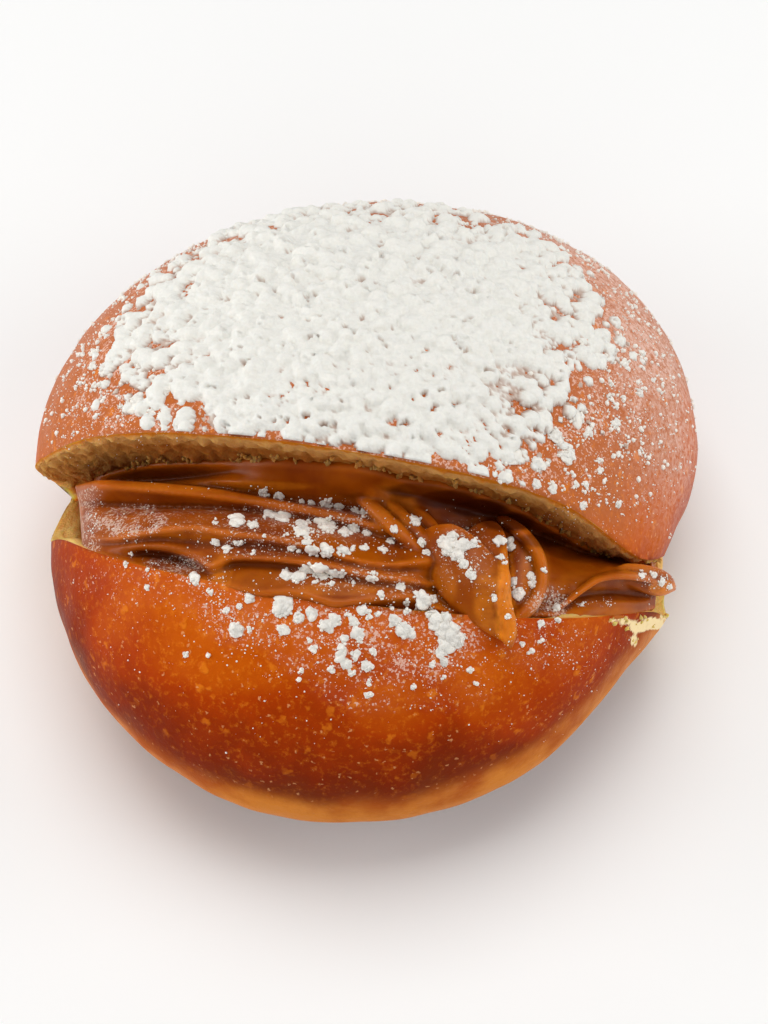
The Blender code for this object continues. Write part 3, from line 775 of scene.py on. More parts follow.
# Lines that run along the front, from its foot to its ceiling
# Each has stations of span along the slit, share across the mouth, and depth behind the lip
caramelLines = {
    "under": (
        (-43, -0.12, 4.0), (-36, -0.12, 4.0), (-30, -0.12, 7.0), (-24, -0.12, 6.5), (-20, -0.10, 3.0),
        (0, -0.10, 3.0), (10, -0.11, 5.0), (20, -0.11, 5.0), (30, -0.12, 4.0), (41, -0.12, 5.0),
    ),
    "lowerEdge": (
        (-43, -0.02, 1.0), (-38, -0.02, 0.5), (-35, -0.02, 0.4), (-33, -0.02, 0.3), (-31, -0.02, 0.2),
        (-28, -0.02, 0.1), (-25.5, -0.02, 0.1), (-24, -0.02, 0.1), (-22.5, -0.02, 0.0), (-21, -0.02, -0.2),
        (-19, -0.02, -0.6), (-16, -0.02, -0.9), (-13, 0.02, -0.8), (-11, 0.025, -0.8), (-9, 0.005, -0.9),
        (-7, -0.015, -0.9), (-5, 0.01, -0.7), (-1, 0.06, -0.2), (2.5, 0.08, 0.4), (5, 0.02, 1.0),
        (8, -0.02, 1.2), (13, -0.02, 1.6), (20, 0.0, 1.7), (23, -0.02, 1.4), (26, -0.05, 1.0),
        (29, -0.06, 0.8), (31.5, -0.05, 0.9), (34, -0.02, 1.4), (38, 0.02, 2.6), (41, 0.1, 3.0),
    ),
    "hollow": (
        (-43, 0.02, 1.6), (-38, 0.02, 1.1), (-35, 0.02, 1.2), (-33, 0.03, 2.2), (-31, 0.06, 4.6),
        (-28, 0.075, 6.2), (-25.5, 0.065, 6.4), (-24, 0.05, 5.0), (-22.5, 0.035, 1.9), (-21.3, 0.07, 1.6),
        (-20, 0.12, 2.3), (-18, 0.15, 2.5), (-16, 0.165, 2.5), (-12, 0.18, 2.4), (-8, 0.17, 2.2),
        (-5, 0.155, 1.9), (-1, 0.15, 1.6), (2.5, 0.15, 2.4), (5, 0.12, 4.6), (9, 0.08, 5.5),
        (14, 0.08, 5.5), (18, 0.08, 4.6), (20.5, 0.07, 4.0), (23, 0.04, 2.4), (26, 0.03, 1.2),
        (29, 0.03, 0.9), (31.5, 0.03, 1.2), (34, 0.04, 2.0), (38, 0.08, 3.4), (41, 0.15, 3.6),
    ),
    "rollCrest": (
        (-43, 0.05, 1.8), (-38, 0.045, 1.2), (-35, 0.06, 1.3), (-33, 0.085, 1.7), (-31, 0.11, 2.0),
        (-28, 0.13, 2.1), (-25.5, 0.12, 2.0), (-24, 0.105, 1.7), (-22.5, 0.09, 0.9), (-21.3, 0.135, 0.5),
        (-20, 0.17, 0.3), (-18, 0.19, 0.2), (-16, 0.20, 0.1), (-12, 0.215, 0.1), (-8, 0.215, 0.2),
        (-5, 0.20, 0.2), (-1, 0.195, 0.3), (2.5, 0.19, 1.2), (5, 0.15, 3.8), (9, 0.14, 5.6),
        (14, 0.14, 5.6), (18, 0.14, 4.8), (21, 0.12, 4.6), (23.3, 0.10, 3.4), (26, 0.125, 2.0),
        (29, 0.13, 1.7), (31.5, 0.12, 1.8), (34, 0.10, 2.2), (38, 0.14, 3.0), (41, 0.20, 3.4),
    ),
    "rollTop": (
        (-43, 0.07, 2.4), (-38, 0.055, 1.4), (-35, 0.085, 1.35), (-33, 0.12, 1.4), (-31, 0.155, 1.5),
        (-28, 0.18, 1.6), (-25.5, 0.17, 1.7), (-22.5, 0.16, 1.6), (-20, 0.20, 1.0), (-16, 0.225, 0.9),
        (-12, 0.24, 0.9), (-8, 0.245, 1.0), (-5, 0.23, 1.1), (-1, 0.225, 1.2), (2.5, 0.22, 2.2),
        (5, 0.20, 4.8), (9, 0.22, 5.8), (14, 0.22, 6.0), (18, 0.19, 5.2), (21, 0.15, 4.8),
        (23.3, 0.14, 4.4), (26, 0.175, 4.2), (29, 0.19, 4.4), (31.5, 0.17, 4.0), (34, 0.15, 3.2),
        (38, 0.20, 2.8), (41, 0.24, 3.2),
    ),
    "lowerFace": (
        (-43, 0.08, 2.3), (-38, 0.06, 1.6), (-35, 0.095, 2.1), (-33, 0.135, 2.5), (-30, 0.19, 2.8),
        (-25, 0.235, 2.8), (-20, 0.255, 2.9), (-15, 0.28, 2.8), (-10, 0.28, 2.6), (-5, 0.25, 2.5),
        (0, 0.25, 2.6), (3, 0.27, 3.2), (6, 0.28, 4.8), (10, 0.30, 5.8), (14, 0.30, 6.0),
        (18, 0.25, 5.4), (22, 0.175, 5.0), (24, 0.20, 4.2), (26, 0.28, 3.6), (29, 0.33, 3.4),
        (32, 0.33, 3.2), (36, 0.30, 2.4), (41, 0.28, 3.0),
    ),
    "lowerCrest": (
        (-43, 0.11, 2.0), (-38, 0.09, 1.1), (-35, 0.145, 1.0), (-33, 0.195, 1.0), (-30, 0.265, 1.0),
        (-28, 0.305, 1.0), (-25, 0.345, 1.0), (-20, 0.34, 1.0), (-16, 0.35, 1.0), (-11, 0.33, 1.0),
        (-6, 0.28, 1.1), (-2, 0.27, 1.3), (0, 0.285, 1.4), (3, 0.33, 2.4), (6, 0.35, 4.8),
        (10, 0.36, 5.8), (14, 0.36, 6.0), (18, 0.30, 5.4), (21, 0.20, 5.0), (22.5, 0.19, 4.6),
        (24.5, 0.27, 3.6), (26.5, 0.375, 2.9), (29, 0.42, 2.6), (32, 0.42, 2.4), (36, 0.38, 2.0),
        (41, 0.32, 3.0),
    ),
    "ribbon": (
        (-43, 0.30, 3.0), (-38, 0.28, 2.6), (-35, 0.33, 3.4), (-30, 0.41, 4.4), (-25, 0.455, 4.6),
        (-20, 0.45, 4.4), (-15, 0.45, 4.2), (-10, 0.43, 4.2), (-5, 0.38, 4.0), (-1, 0.36, 4.2),
        (3, 0.42, 4.8), (7, 0.44, 6.4), (12, 0.44, 7.2), (18, 0.42, 6.6), (22, 0.30, 6.0),
        (25, 0.40, 5.2), (28, 0.50, 5.0), (32, 0.50, 4.4), (36, 0.46, 4.0), (41, 0.40, 4.0),
    ),
    "crease": (
        (-43, 0.40, 4.2), (-38, 0.43, 5.4), (-35, 0.445, 7.4), (-30, 0.47, 9.4), (-26, 0.50, 9.8),
        (-22, 0.52, 9.2), (-16, 0.535, 9.2), (-9, 0.525, 9.2), (-4, 0.49, 8.8), (-1, 0.46, 8.0),
        (3, 0.47, 7.4), (8, 0.50, 8.5), (13, 0.50, 8.5), (18, 0.50, 8.0), (22, 0.42, 7.4),
        (26, 0.52, 7.6), (30, 0.56, 8.6), (34, 0.58, 7.6), (41, 0.50, 5.0),
    ),
    "upperEdge": (
        (-43, 0.58, 3.4), (-38, 0.60, 2.8), (-35, 0.60, 4.2), (-30, 0.60, 6.0), (-24, 0.60, 6.6),
        (-16, 0.58, 7.2), (-9, 0.56, 7.4), (-4, 0.54, 7.4), (-1, 0.51, 7.2), (3, 0.52, 7.0),
        (8, 0.56, 8.6), (13, 0.56, 8.6), (18, 0.56, 9.0), (22, 0.50, 8.8), (26, 0.56, 9.0),
        (30, 0.60, 10.0), (34, 0.62, 8.6), (41, 0.56, 6.0),
    ),
    "upperCrest": (
        (-43, 0.66, 3.6), (-38, 0.68, 3.4), (-35, 0.685, 5.0), (-30, 0.69, 6.6), (-24, 0.685, 7.0),
        (-16, 0.65, 7.5), (-11, 0.63, 7.7), (-6, 0.61, 8.0), (-2, 0.56, 7.6), (3, 0.56, 7.2),
        (8, 0.60, 9.4), (13, 0.60, 8.8), (18, 0.60, 10.5), (22, 0.56, 10.5), (26, 0.60, 11.0),
        (30, 0.64, 12.0), (34, 0.66, 10.0), (41, 0.62, 7.0),
    ),
    "valley": (
        (-43, 0.68, 7.0), (-38, 0.69, 10.0), (-35, 0.72, 13.0), (-30, 0.735, 15.0), (-25, 0.73, 13.5),
        (-21, 0.70, 11.8), (-16, 0.68, 11.4), (-10, 0.66, 11.4), (-5, 0.655, 11.6), (-2, 0.60, 9.0),
        (1, 0.60, 8.2), (5, 0.62, 9.4), (10, 0.64, 10.8), (14, 0.64, 9.8), (18, 0.66, 12.5),
        (24, 0.66, 13.0), (30, 0.68, 14.0), (34, 0.70, 12.0), (41, 0.68, 9.0),
    ),
    "backCrest": (
        (-43, 0.80, 10.0), (-38, 0.82, 15.0), (-30, 0.83, 17.0), (-25, 0.80, 13.0), (-22, 0.78, 10.6),
        (-15, 0.775, 9.6), (-9, 0.765, 9.4), (-5.5, 0.77, 10.2), (-3.5, 0.76, 9.0), (0, 0.74, 9.0),
        (4, 0.72, 9.6), (8, 0.75, 10.5), (12, 0.77, 11.4), (14.5, 0.78, 9.8), (16.5, 0.77, 13.0),
        (22, 0.76, 16.0), (30, 0.78, 16.0), (35, 0.78, 10.0), (41, 0.76, 8.0),
    ),
    "gap": (
        (-43, 0.89, 14.0), (-37, 0.89, 18.0), (-30, 0.89, 18.5), (-25, 0.89, 15.0), (-21, 0.88, 10.8),
        (-15, 0.87, 8.4), (-9, 0.87, 7.4), (-4, 0.86, 7.2), (-1, 0.86, 9.4), (3, 0.86, 9.4),
        (7, 0.86, 10.5), (12, 0.86, 12.0), (18, 0.87, 16.0), (28, 0.87, 16.0), (34, 0.88, 9.0),
        (41, 0.88, 5.0),
    ),
    "ceiling": (
        (-43, 0.93, 14.0), (-38, 0.93, 14.6), (-34, 0.93, 13.2), (-28, 0.93, 12.2), (-22.5, 0.93, 10.8),
        (-16.5, 0.93, 8.0), (-10, 0.93, 6.6), (-4, 0.93, 5.4), (-1, 0.93, 7.4), (4.5, 0.93, 6.8),
        (9, 0.93, 7.2), (13, 0.93, 8.2), (18.8, 0.93, 10.4), (24.4, 0.93, 9.6), (30, 0.93, 8.6),
        (34, 0.93, 4.6), (37, 0.93, 2.4), (41, 0.93, 2.0),
    ),
}

# Lobes and strands on it: stations of span, share across, depth behind the lip, half width, half thickness
caramelLobes = {
    "tongue": (
        (3.0, 0.54, 6.6, 2.2, 1.0), (6.0, 0.43, 4.6, 3.5, 1.5), (8.6, 0.28, 2.4, 4.0, 1.7),
        (11.0, 0.12, 0.4, 3.4, 1.6), (13.0, -0.01, -1.0, 2.3, 1.3), (14.5, -0.12, -1.5, 1.2, 0.9),
        (15.1, -0.20, -1.4, 0.3, 0.3),
    ),
    "tongueTop": (
        (9.6, 0.66, 8.2, 2.2, 1.0), (10.4, 0.56, 6.0, 3.0, 1.3), (11.2, 0.41, 3.4, 2.6, 1.5),
        (12.2, 0.25, 1.0, 1.9, 1.4), (13.2, 0.08, -0.8, 1.4, 1.2), (14.4, -0.10, -1.8, 0.9, 0.8),
    ),
    "tongueRidge": (
        (12.4, 0.50, 4.0, 0.5, 0.5), (12.7, 0.39, 1.9, 0.8, 0.9), (13.2, 0.27, -0.1, 0.9, 1.1),
        (12.8, 0.14, -1.4, 0.8, 1.0), (13.9, 0.02, -2.2, 1.1, 1.1), (14.4, -0.12, -2.5, 0.9, 0.8),
        (15.1, -0.21, -2.3, 0.3, 0.3),
    ),
    "loop": (
        (12.4, 0.80, 9.4, 0.4, 0.6), (13.6, 0.76, 7.6, 0.7, 1.1), (15.6, 0.66, 5.2, 0.9, 1.4),
        (17.6, 0.50, 3.5, 0.9, 1.5), (18.3, 0.30, 2.5, 0.9, 1.5), (17.7, 0.13, 1.7, 0.9, 1.4),
        (16.4, 0.03, 1.0, 0.9, 1.2), (15.2, -0.03, 0.4, 0.6, 0.8),
    ),
    "cup": (
        (13.8, 0.72, 8.8, 0.8, 0.8), (15.3, 0.58, 6.3, 1.7, 1.0), (16.3, 0.42, 4.7, 2.1, 1.0),
        (16.4, 0.26, 3.6, 2.1, 1.0), (15.9, 0.12, 2.7, 1.7, 0.9), (15.2, 0.02, 2.0, 0.8, 0.7),
    ),
    "fin": (
        (20.5, 0.02, 2.6, 0.3, 0.3), (22.3, 0.12, 2.9, 0.35, 0.8), (24.2, 0.25, 2.5, 0.4, 1.1),
        (26.2, 0.36, 1.9, 0.45, 1.3), (29.0, 0.415, 1.5, 0.5, 1.4), (32.5, 0.42, 1.4, 0.5, 1.3),
        (36.0, 0.38, 1.2, 0.4, 0.8),
    ),
    "petal": (
        (28.5, 0.45, 4.4, 1.0, 0.6), (31.4, 0.43, 3.0, 1.6, 0.8), (34.2, 0.39, 1.6, 1.9, 0.9),
        (36.4, 0.34, 0.4, 1.6, 0.9), (37.9, 0.30, -0.2, 0.7, 0.45), (38.9, 0.27, -0.4, 0.15, 0.15),
    ),
    "strandLeft": (
        (-5.5, 0.80, 11.2, 0.6, 0.6), (-3.5, 0.70, 9.0, 0.9, 0.9), (-1.2, 0.58, 7.2, 1.0, 1.0),
        (1.4, 0.46, 5.6, 0.9, 0.9), (3.4, 0.35, 4.2, 0.5, 0.5),
    ),
    "strandMiddle": (
        (-3.2, 0.86, 11.4, 0.5, 0.6), (-0.8, 0.71, 9.2, 0.9, 1.0), (1.8, 0.57, 7.2, 1.0, 1.1),
        (4.0, 0.43, 5.4, 0.8, 0.9), (5.0, 0.32, 4.4, 0.4, 0.5),
    ),
    "strandRight": (
        (0.0, 0.84, 12.0, 0.5, 0.6), (1.8, 0.73, 10.0, 0.9, 0.9), (3.8, 0.62, 8.2, 1.0, 0.9),
        (5.6, 0.52, 6.4, 0.5, 0.5),
    ),
}

# Spots of the picture: across, down, half width, half height, strength
caramelSpots = {
    # painted light: golden glow of thin lit lobes, and highlight lines along lit crests
    "goldenAndLit": (
        (506, 590, 9, 40, 0.9), (507, 622, 12, 20, 1.0), (262, 579, 30, 9, 0.12), (340, 589, 40, 6, 0.3),
        (390, 510, 26, 26, 0.4), (664, 588, 14, 8, 0.7), (222, 572, 10, 18, 0.4), (600, 613, 40, 6, 0.2),
        (580, 588, 24, 16, 0.2), (215, 486, 90, 5, 0.4), (180, 534, 70, 6, 0.15), (440, 588, 16, 20, 0.3),
        (535, 575, 14, 34, 0.35), (490, 600, 16, 30, 0.4), (640, 570, 20, 8, 0.3),
    ),
    # painted shade: dark spots in the deep shadow under the flap
    "deep": (
        (418, 490, 26, 7, 0.6), (446, 499, 30, 9, 0.85), (478, 508, 28, 9, 0.95), (508, 522, 26, 9, 0.9),
        (545, 540, 26, 7, 0.6), (150, 474, 60, 5, 0.3), (590, 556, 30, 6, 0.3), (165, 547, 46, 5, 0.3),
        (260, 558, 46, 5, 0.15),
    ),
    "dust": (
        (133, 521, 34, 17, 0.95), (90, 500, 13, 14, 0.7), (90, 530, 13, 26, 0.9), (178, 565, 32, 10, 0.75),
        (205, 520, 50, 14, 0.45), (300, 524, 80, 24, 0.5), (260, 548, 60, 10, 0.35), (335, 577, 56, 13, 0.45),
        (388, 584, 36, 14, 0.5), (548, 603, 22, 16, 0.85), (464, 552, 30, 30, 0.4), (592, 603, 24, 4, 0.35),
        (655, 578, 20, 11, 0.4), (322, 505, 50, 8, 0.3), (520, 575, 12, 24, 0.3),
    ),
}


def lineAt(stations, span):
    # share across and depth of a line at many spans, on a smooth curve through its stations
    table = np.array(stations, float)
    places = table[:, 0]
    k = np.clip(np.searchsorted(places, span, side="right") - 1, 0, len(table) - 2)
    gap = places[k + 1] - places[k]
    t = np.clip((span - places[k]) / gap, 0.0, 1.0)
    found = []
    for column in (1, 2):
        values = table[:, column]
        slopes = np.gradient(values, places)
        found.append(
            values[k] * (1 + 2 * t) * (1 - t) ** 2
            + gap * slopes[k] * t * (1 - t) ** 2
            + values[k + 1] * t * t * (3 - 2 * t)
            + gap * slopes[k + 1] * t * t * (t - 1)
        )
    return found


def frontDepth(span, across):
    lines = [lineAt(line, span) for line in caramelLines.values()]
    places = np.array([line[0] for line in lines])
    depths = np.array([line[1] for line in lines])
    for k in range(1, len(places)):
        places[k] = np.maximum(places[k], places[k - 1] + caramel["leastGap"])
    total = np.zeros(len(span))
    for shift, weight in ((-2, 1), (-1, 2), (0, 3), (1, 2), (2, 1)):
        here = across + shift * caramel["blur"]
        depth = depths[0].copy()
        for k in range(len(places) - 1):
            share = np.clip((here - places[k]) / (places[k + 1] - places[k]), 0.0, 1.0)
            depth = np.where(here >= places[k], mixed(depths[k], depths[k + 1], share), depth)
        total += depth * weight / 9
    corner, fall = caramel["corner"]
    total += fall * np.maximum(corner - span, 0.0)
    height, alongScale, acrossScale = caramel["grain"]
    threads = np.stack([span * alongScale, across / acrossScale, span * 0.0], axis=1)
    total += height * fbm(threads, 1.0, 2, 11.0)
    height, size = caramel["waves"]
    broad = np.stack([span, across * caramel["mouthHeight"], span * 0.0], axis=1)
    return total + height * fbm(broad, size, 2, 12.0)


def caramelColumns():
    # share across the mouth, and share of the way from the slit's inner end to the front
    low, high = caramel["lowest"], caramel["highest"]
    steps = caramel["frontSteps"]
    front = [(mixed(low, high, k / steps), 1.0) for k in range(steps + 1)]
    top = [(high, share) for share in caramel["sideShares"]]
    back = [(mixed(high, low, share), 0.0) for share in caramel["backShares"]]
    under = [(low, share) for share in reversed(caramel["sideShares"])]
    return np.array(front + top + back + under)


def caramelCore():
    columns = caramelColumns()
    bm, column, lean, pole = newBall(len(columns), caramel["rows"])
    across, share = columns[column, 0], columns[column, 1]
    across = np.where(pole, caramel["tip"][0], across)
    share = np.where(pole, caramel["tip"][1], share)
    left, right = caramel["ends"]
    slant, end = caramel["slant"]
    height, size = caramel["endWaves"]
    waves = height * fbm(np.outer(across, (caramel["mouthHeight"] / size, 0.0, 0.0)), 1.0, 2, 14.0)
    leftEnd = left + slant * np.minimum(across, end) + waves
    span = mixed(right, leftEnd, lean / math.pi)
    heel, lips = heelReach(span), lipReach(span)
    front = np.maximum(lips - np.where(pole, 0.0, frontDepth(span, across)), heel + 1.0)
    places = mouthPoint(span, across, mixed(heel, front, share))
    withFlap = smoothStep((across - 0.72) / 0.2)[:, None]
    moveVerts(bm, mixed(places, nudged(places, 1.0), withFlap))
    bmesh.ops.recalc_face_normals(bm, faces=bm.faces)
    return bm


def curveAt(stations, share):
    table = np.array(stations, float)
    place = np.clip(share, 0.0, 1.0) * (len(table) - 1)
    k = np.minimum(place.astype(int), len(table) - 2)
    t = (place - k)[:, None]
    p0, p1 = table[np.maximum(k - 1, 0)], table[k]
    p2, p3 = table[k + 1], table[np.minimum(k + 2, len(table) - 1)]
    return 0.5 * (
        2 * p1 + (p2 - p0) * t + (2 * p0 - 5 * p1 + 4 * p2 - p3) * t * t
        + (3 * p1 - p0 - 3 * p2 + p3) * t ** 3
    )


def lobeCentre(stations, share):
    span, across, depth, width, thickness = curveAt(stations, share).T
    return mouthPoint(span, across, lipReach(span) - depth), width, thickness


def caramelLobe(stations):
    sides = caramel["lobeSides"]
    bm, column, lean, pole = newBall(sides, caramel["lobeRows"])
    side = column * 2 * math.pi / sides
    share = (1.0 - np.cos(lean)) / 2
    centre, width, thickness = lobeCentre(stations, share)
    tangent = rowsUnit(lobeCentre(stations, share + 0.02)[0] - lobeCentre(stations, share - 0.02)[0])
    first = rowsUnit(np.cross(tangent, out))
    second = np.cross(first, tangent)
    swell = np.minimum(1.0, 1.6 * np.sin(lean)) * ~pole
    ring = first * (width * np.cos(side))[:, None] + second * (thickness * np.sin(side))[:, None]
    moveVerts(bm, centre + ring * swell[:, None])
    bmesh.ops.recalc_face_normals(bm, faces=bm.faces)
    return bm


def caramelMaterial():
    material, tree, shader = newMaterial("caramel")
    patches = remap(tree, noiseTexture(tree, caramel["patchSize"], 3.0), 0.35, 0.65)
    colour = blendColour(tree, patches, caramel["main"], caramel["dark"])
    uneven = remap(tree, noiseTexture(tree, 1.8, 4.0, 0.6), 0.3, 0.7, 0.35, 1.25)
    goldenAndLit = maths(tree, "MULTIPLY", painted(tree, "goldenAndLit"), uneven)
    colour = blendColour(tree, goldenAndLit, colour, caramel["goldenAndLit"])
    bend = painted(tree, "bend")
    # painted highlight: lighter on crests
    colour = blendColour(tree, remap(tree, bend, 0.2, 1.0, 0.0, 0.45), colour, caramel["crest"])
    # painted shade: darker in creases, and in the spots of painted shade
    colour = blendColour(tree, remap(tree, bend, -0.15, -1.0, 0.0, 0.6), colour, caramel["deep"])
    colour = blendColour(tree, painted(tree, "deep"), colour, caramel["deep"])
    gloss = remap(tree, noiseTexture(tree, 3.0, 3.0), 0.3, 0.7, *caramel["gloss"])
    colour, gloss = dustOn(tree, colour, gloss, painted(tree, "dust"), 0.34, caramel["dusted"])
    setInputs(tree, shader, {
        "Base Color": colour,
        "Roughness": gloss,
        "Specular IOR Level": caramel["shine"],
        "Subsurface Weight": 0.3,
        "Subsurface Radius": (1.0, 0.45, 0.12),
        "Subsurface Scale": 0.0016,
    })
    bump(tree, shader, noiseTexture(tree, 1.2, 3.0, 0.5), 0.10, 0.35)
    return material


def bends(piece):
    # from -1 in creases to 1 on crests
    mesh = piece.data
    count = len(mesh.vertices)
    ends = np.empty(len(mesh.edges) * 2, np.int32)
    mesh.edges.foreach_get("vertices", ends)
    first, second = ends[0::2], ends[1::2]
    number = np.bincount(ends, minlength=count)

    def around(values):
        total = np.bincount(first, values[second], count) + np.bincount(second, values[first], count)
        return total / number

    normals = readVerts(piece, "normal")
    here = readVerts(piece, "co") / mm
    total = sum((here[:, k] - around(here[:, k])) * normals[:, k] for k in range(3))
    rounds, share = caramel["bendBlur"]
    for _ in range(rounds):
        total = mixed(total, around(total), share)
    return np.clip(total / caramel["crestBend"], -1.0, 1.0)


def workedIn(piece):
    # puts the result of the piece's modifiers into its mesh
    graph = bpy.context.evaluated_depsgraph_get()
    mesh = bpy.data.meshes.new_from_object(piece.evaluated_get(graph))
    piece.modifiers.clear()
    piece.data = mesh
    return mesh


def makeCaramel():
    bm = caramelCore()
    for stations in caramelLobes.values():
        lobe = caramelLobe(stations)
        mesh = bpy.data.meshes.new("lobe")
        lobe.to_mesh(mesh)
        lobe.free()
        bm.from_mesh(mesh)
        bpy.data.meshes.remove(mesh)
    moveVerts(bm, toFrame(placesOf(bm)))
    piece = makePiece("caramelFilling", bm, [])
    remesh = piece.modifiers.new("fused", "REMESH")
    remesh.mode = "VOXEL"
    remesh.voxel_size = caramel["voxel"] * mm
    fused = workedIn(piece)
    soft = bmesh.new()
    soft.from_mesh(fused)
    everyWay = {"use_axis_x": True, "use_axis_y": True, "use_axis_z": True}
    bmesh.ops.smooth_vert(soft, verts=soft.verts, factor=0.5, **everyWay)
    soft.to_mesh(fused)
    soft.free()
    fused.shade_smooth()
    fused.materials.append(caramelMaterial())
    here = readVerts(piece, "co")
    for name, spots in caramelSpots.items():
        paint(piece, name, spotted(here, spots))
    paint(piece, "bend", bends(piece))
    piece.modifiers.new("thinned", "DECIMATE").ratio = caramel["kept"]
    workedIn(piece)
    return piece


filling = makeCaramel()
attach(filling, "root")
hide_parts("filling")
print("caramel:", len(filling.data.polygons), "faces")


# Powdered sugar: a thick cap on the flap, drifts of clumps at its edges and on the front, and fine specks
sugar = {
    "centre": (-1.0, 9.0),
    "outline": (  # places round the cap's edge seen from above, and how far it thins out inside them
        (39.0, 10.0, 15.0), (35.5, 22.0, 13.0), (27.0, 34.5, 9.0), (12.0, 39.5, 6.0), (-1.0, 40.5, 6.0),
        (-16.0, 39.0, 6.0), (-28.0, 31.0, 7.0), (-37.0, 18.0, 9.0), (-42.0, 9.0, 12.0),
        (-41.5, -1.0, 16.0), (-35.0, -11.0, 11.0), (-25.0, -18.0, 4.0), (-6.0, -22.0, 2.2),
        (5.0, -23.0, 2.6), (18.0, -20.5, 6.5), (28.0, -11.5, 14.0), (35.5, -1.0, 17.0),
    ),
    "patches": (0.85, 1.7),  # how much patches of it stand apart at the edges, and their size
    "pages": (0.4, 112.0),  # degrees round the slit's foot, from the flap's lip
    "leans": (22.0, 158.0),
    "columns": 305,
    "rows": 330,
    "lumps": 6600,
    "lumpSizes": (0.32, 1.40),
    "lumpHeight": 0.92,
    "bed": (0.40, 9.0),  # thickness, and the size of its thicker and thinner parts
    "bedSlope": 11.0,  # how far inside its thin edge the cap has its full bed
    "below": 0.22,  # how far its underside lies in the crust
    "bareBelow": 0.04,  # where it is lower than this there is no sugar
    "deepest": -0.12,
    "swell": (0.22, 2.2),
    "grain": (0.19, 0.46),
    "pits": (1.1, 0.46, 0.05),  # size, how rare they are, and the height that is left in them
    "lipEdge": 0.7,  # how far from the lip the cap is broken up
    "white": (0.90, 0.885, 0.825),
    # painted light: a whiter, warmer copy of the sugar for drifts that lie in less light
    "driftWhiteLit": (0.96, 0.91, 0.82),
    "thinAndShaded": (0.42, 0.22, 0.14),  # crust that shows through a thin layer, darkened as painted shade in pits and gaps
    "thinLayer": 0.22,  # below this height it starts to show
    "clumpSizes": (0.13, 0.36),
    "clumpShare": 0.34,  # clumps for each square pixel of a drift's radius
    "bodyShare": 0.52,  # flat bodies for each pixel of a drift's radius
    "bodySizes": (0.5, 0.95),  # as shares of the drift's radius, which counts up to the next number
    "bodyLargest": 8.0,
    "bodyForm": ((0.75, 1.3), (0.75, 1.3), (0.30, 0.50)),  # least and most width, length and thickness
    "edging": (2200, 2.6, (0.10, 0.36), 2.4),  # number, reach past the cap, sizes, size of its patches
    "fringe": (1800, 4.0, (0.035, 0.14), 0.0),
    "fringePages": (1.5, 118.0),
    "speckSizes": (0.035, 0.14),
    "speckPatches": 2.0,  # size of the patches in which specks lie
    "seed": 7,
}

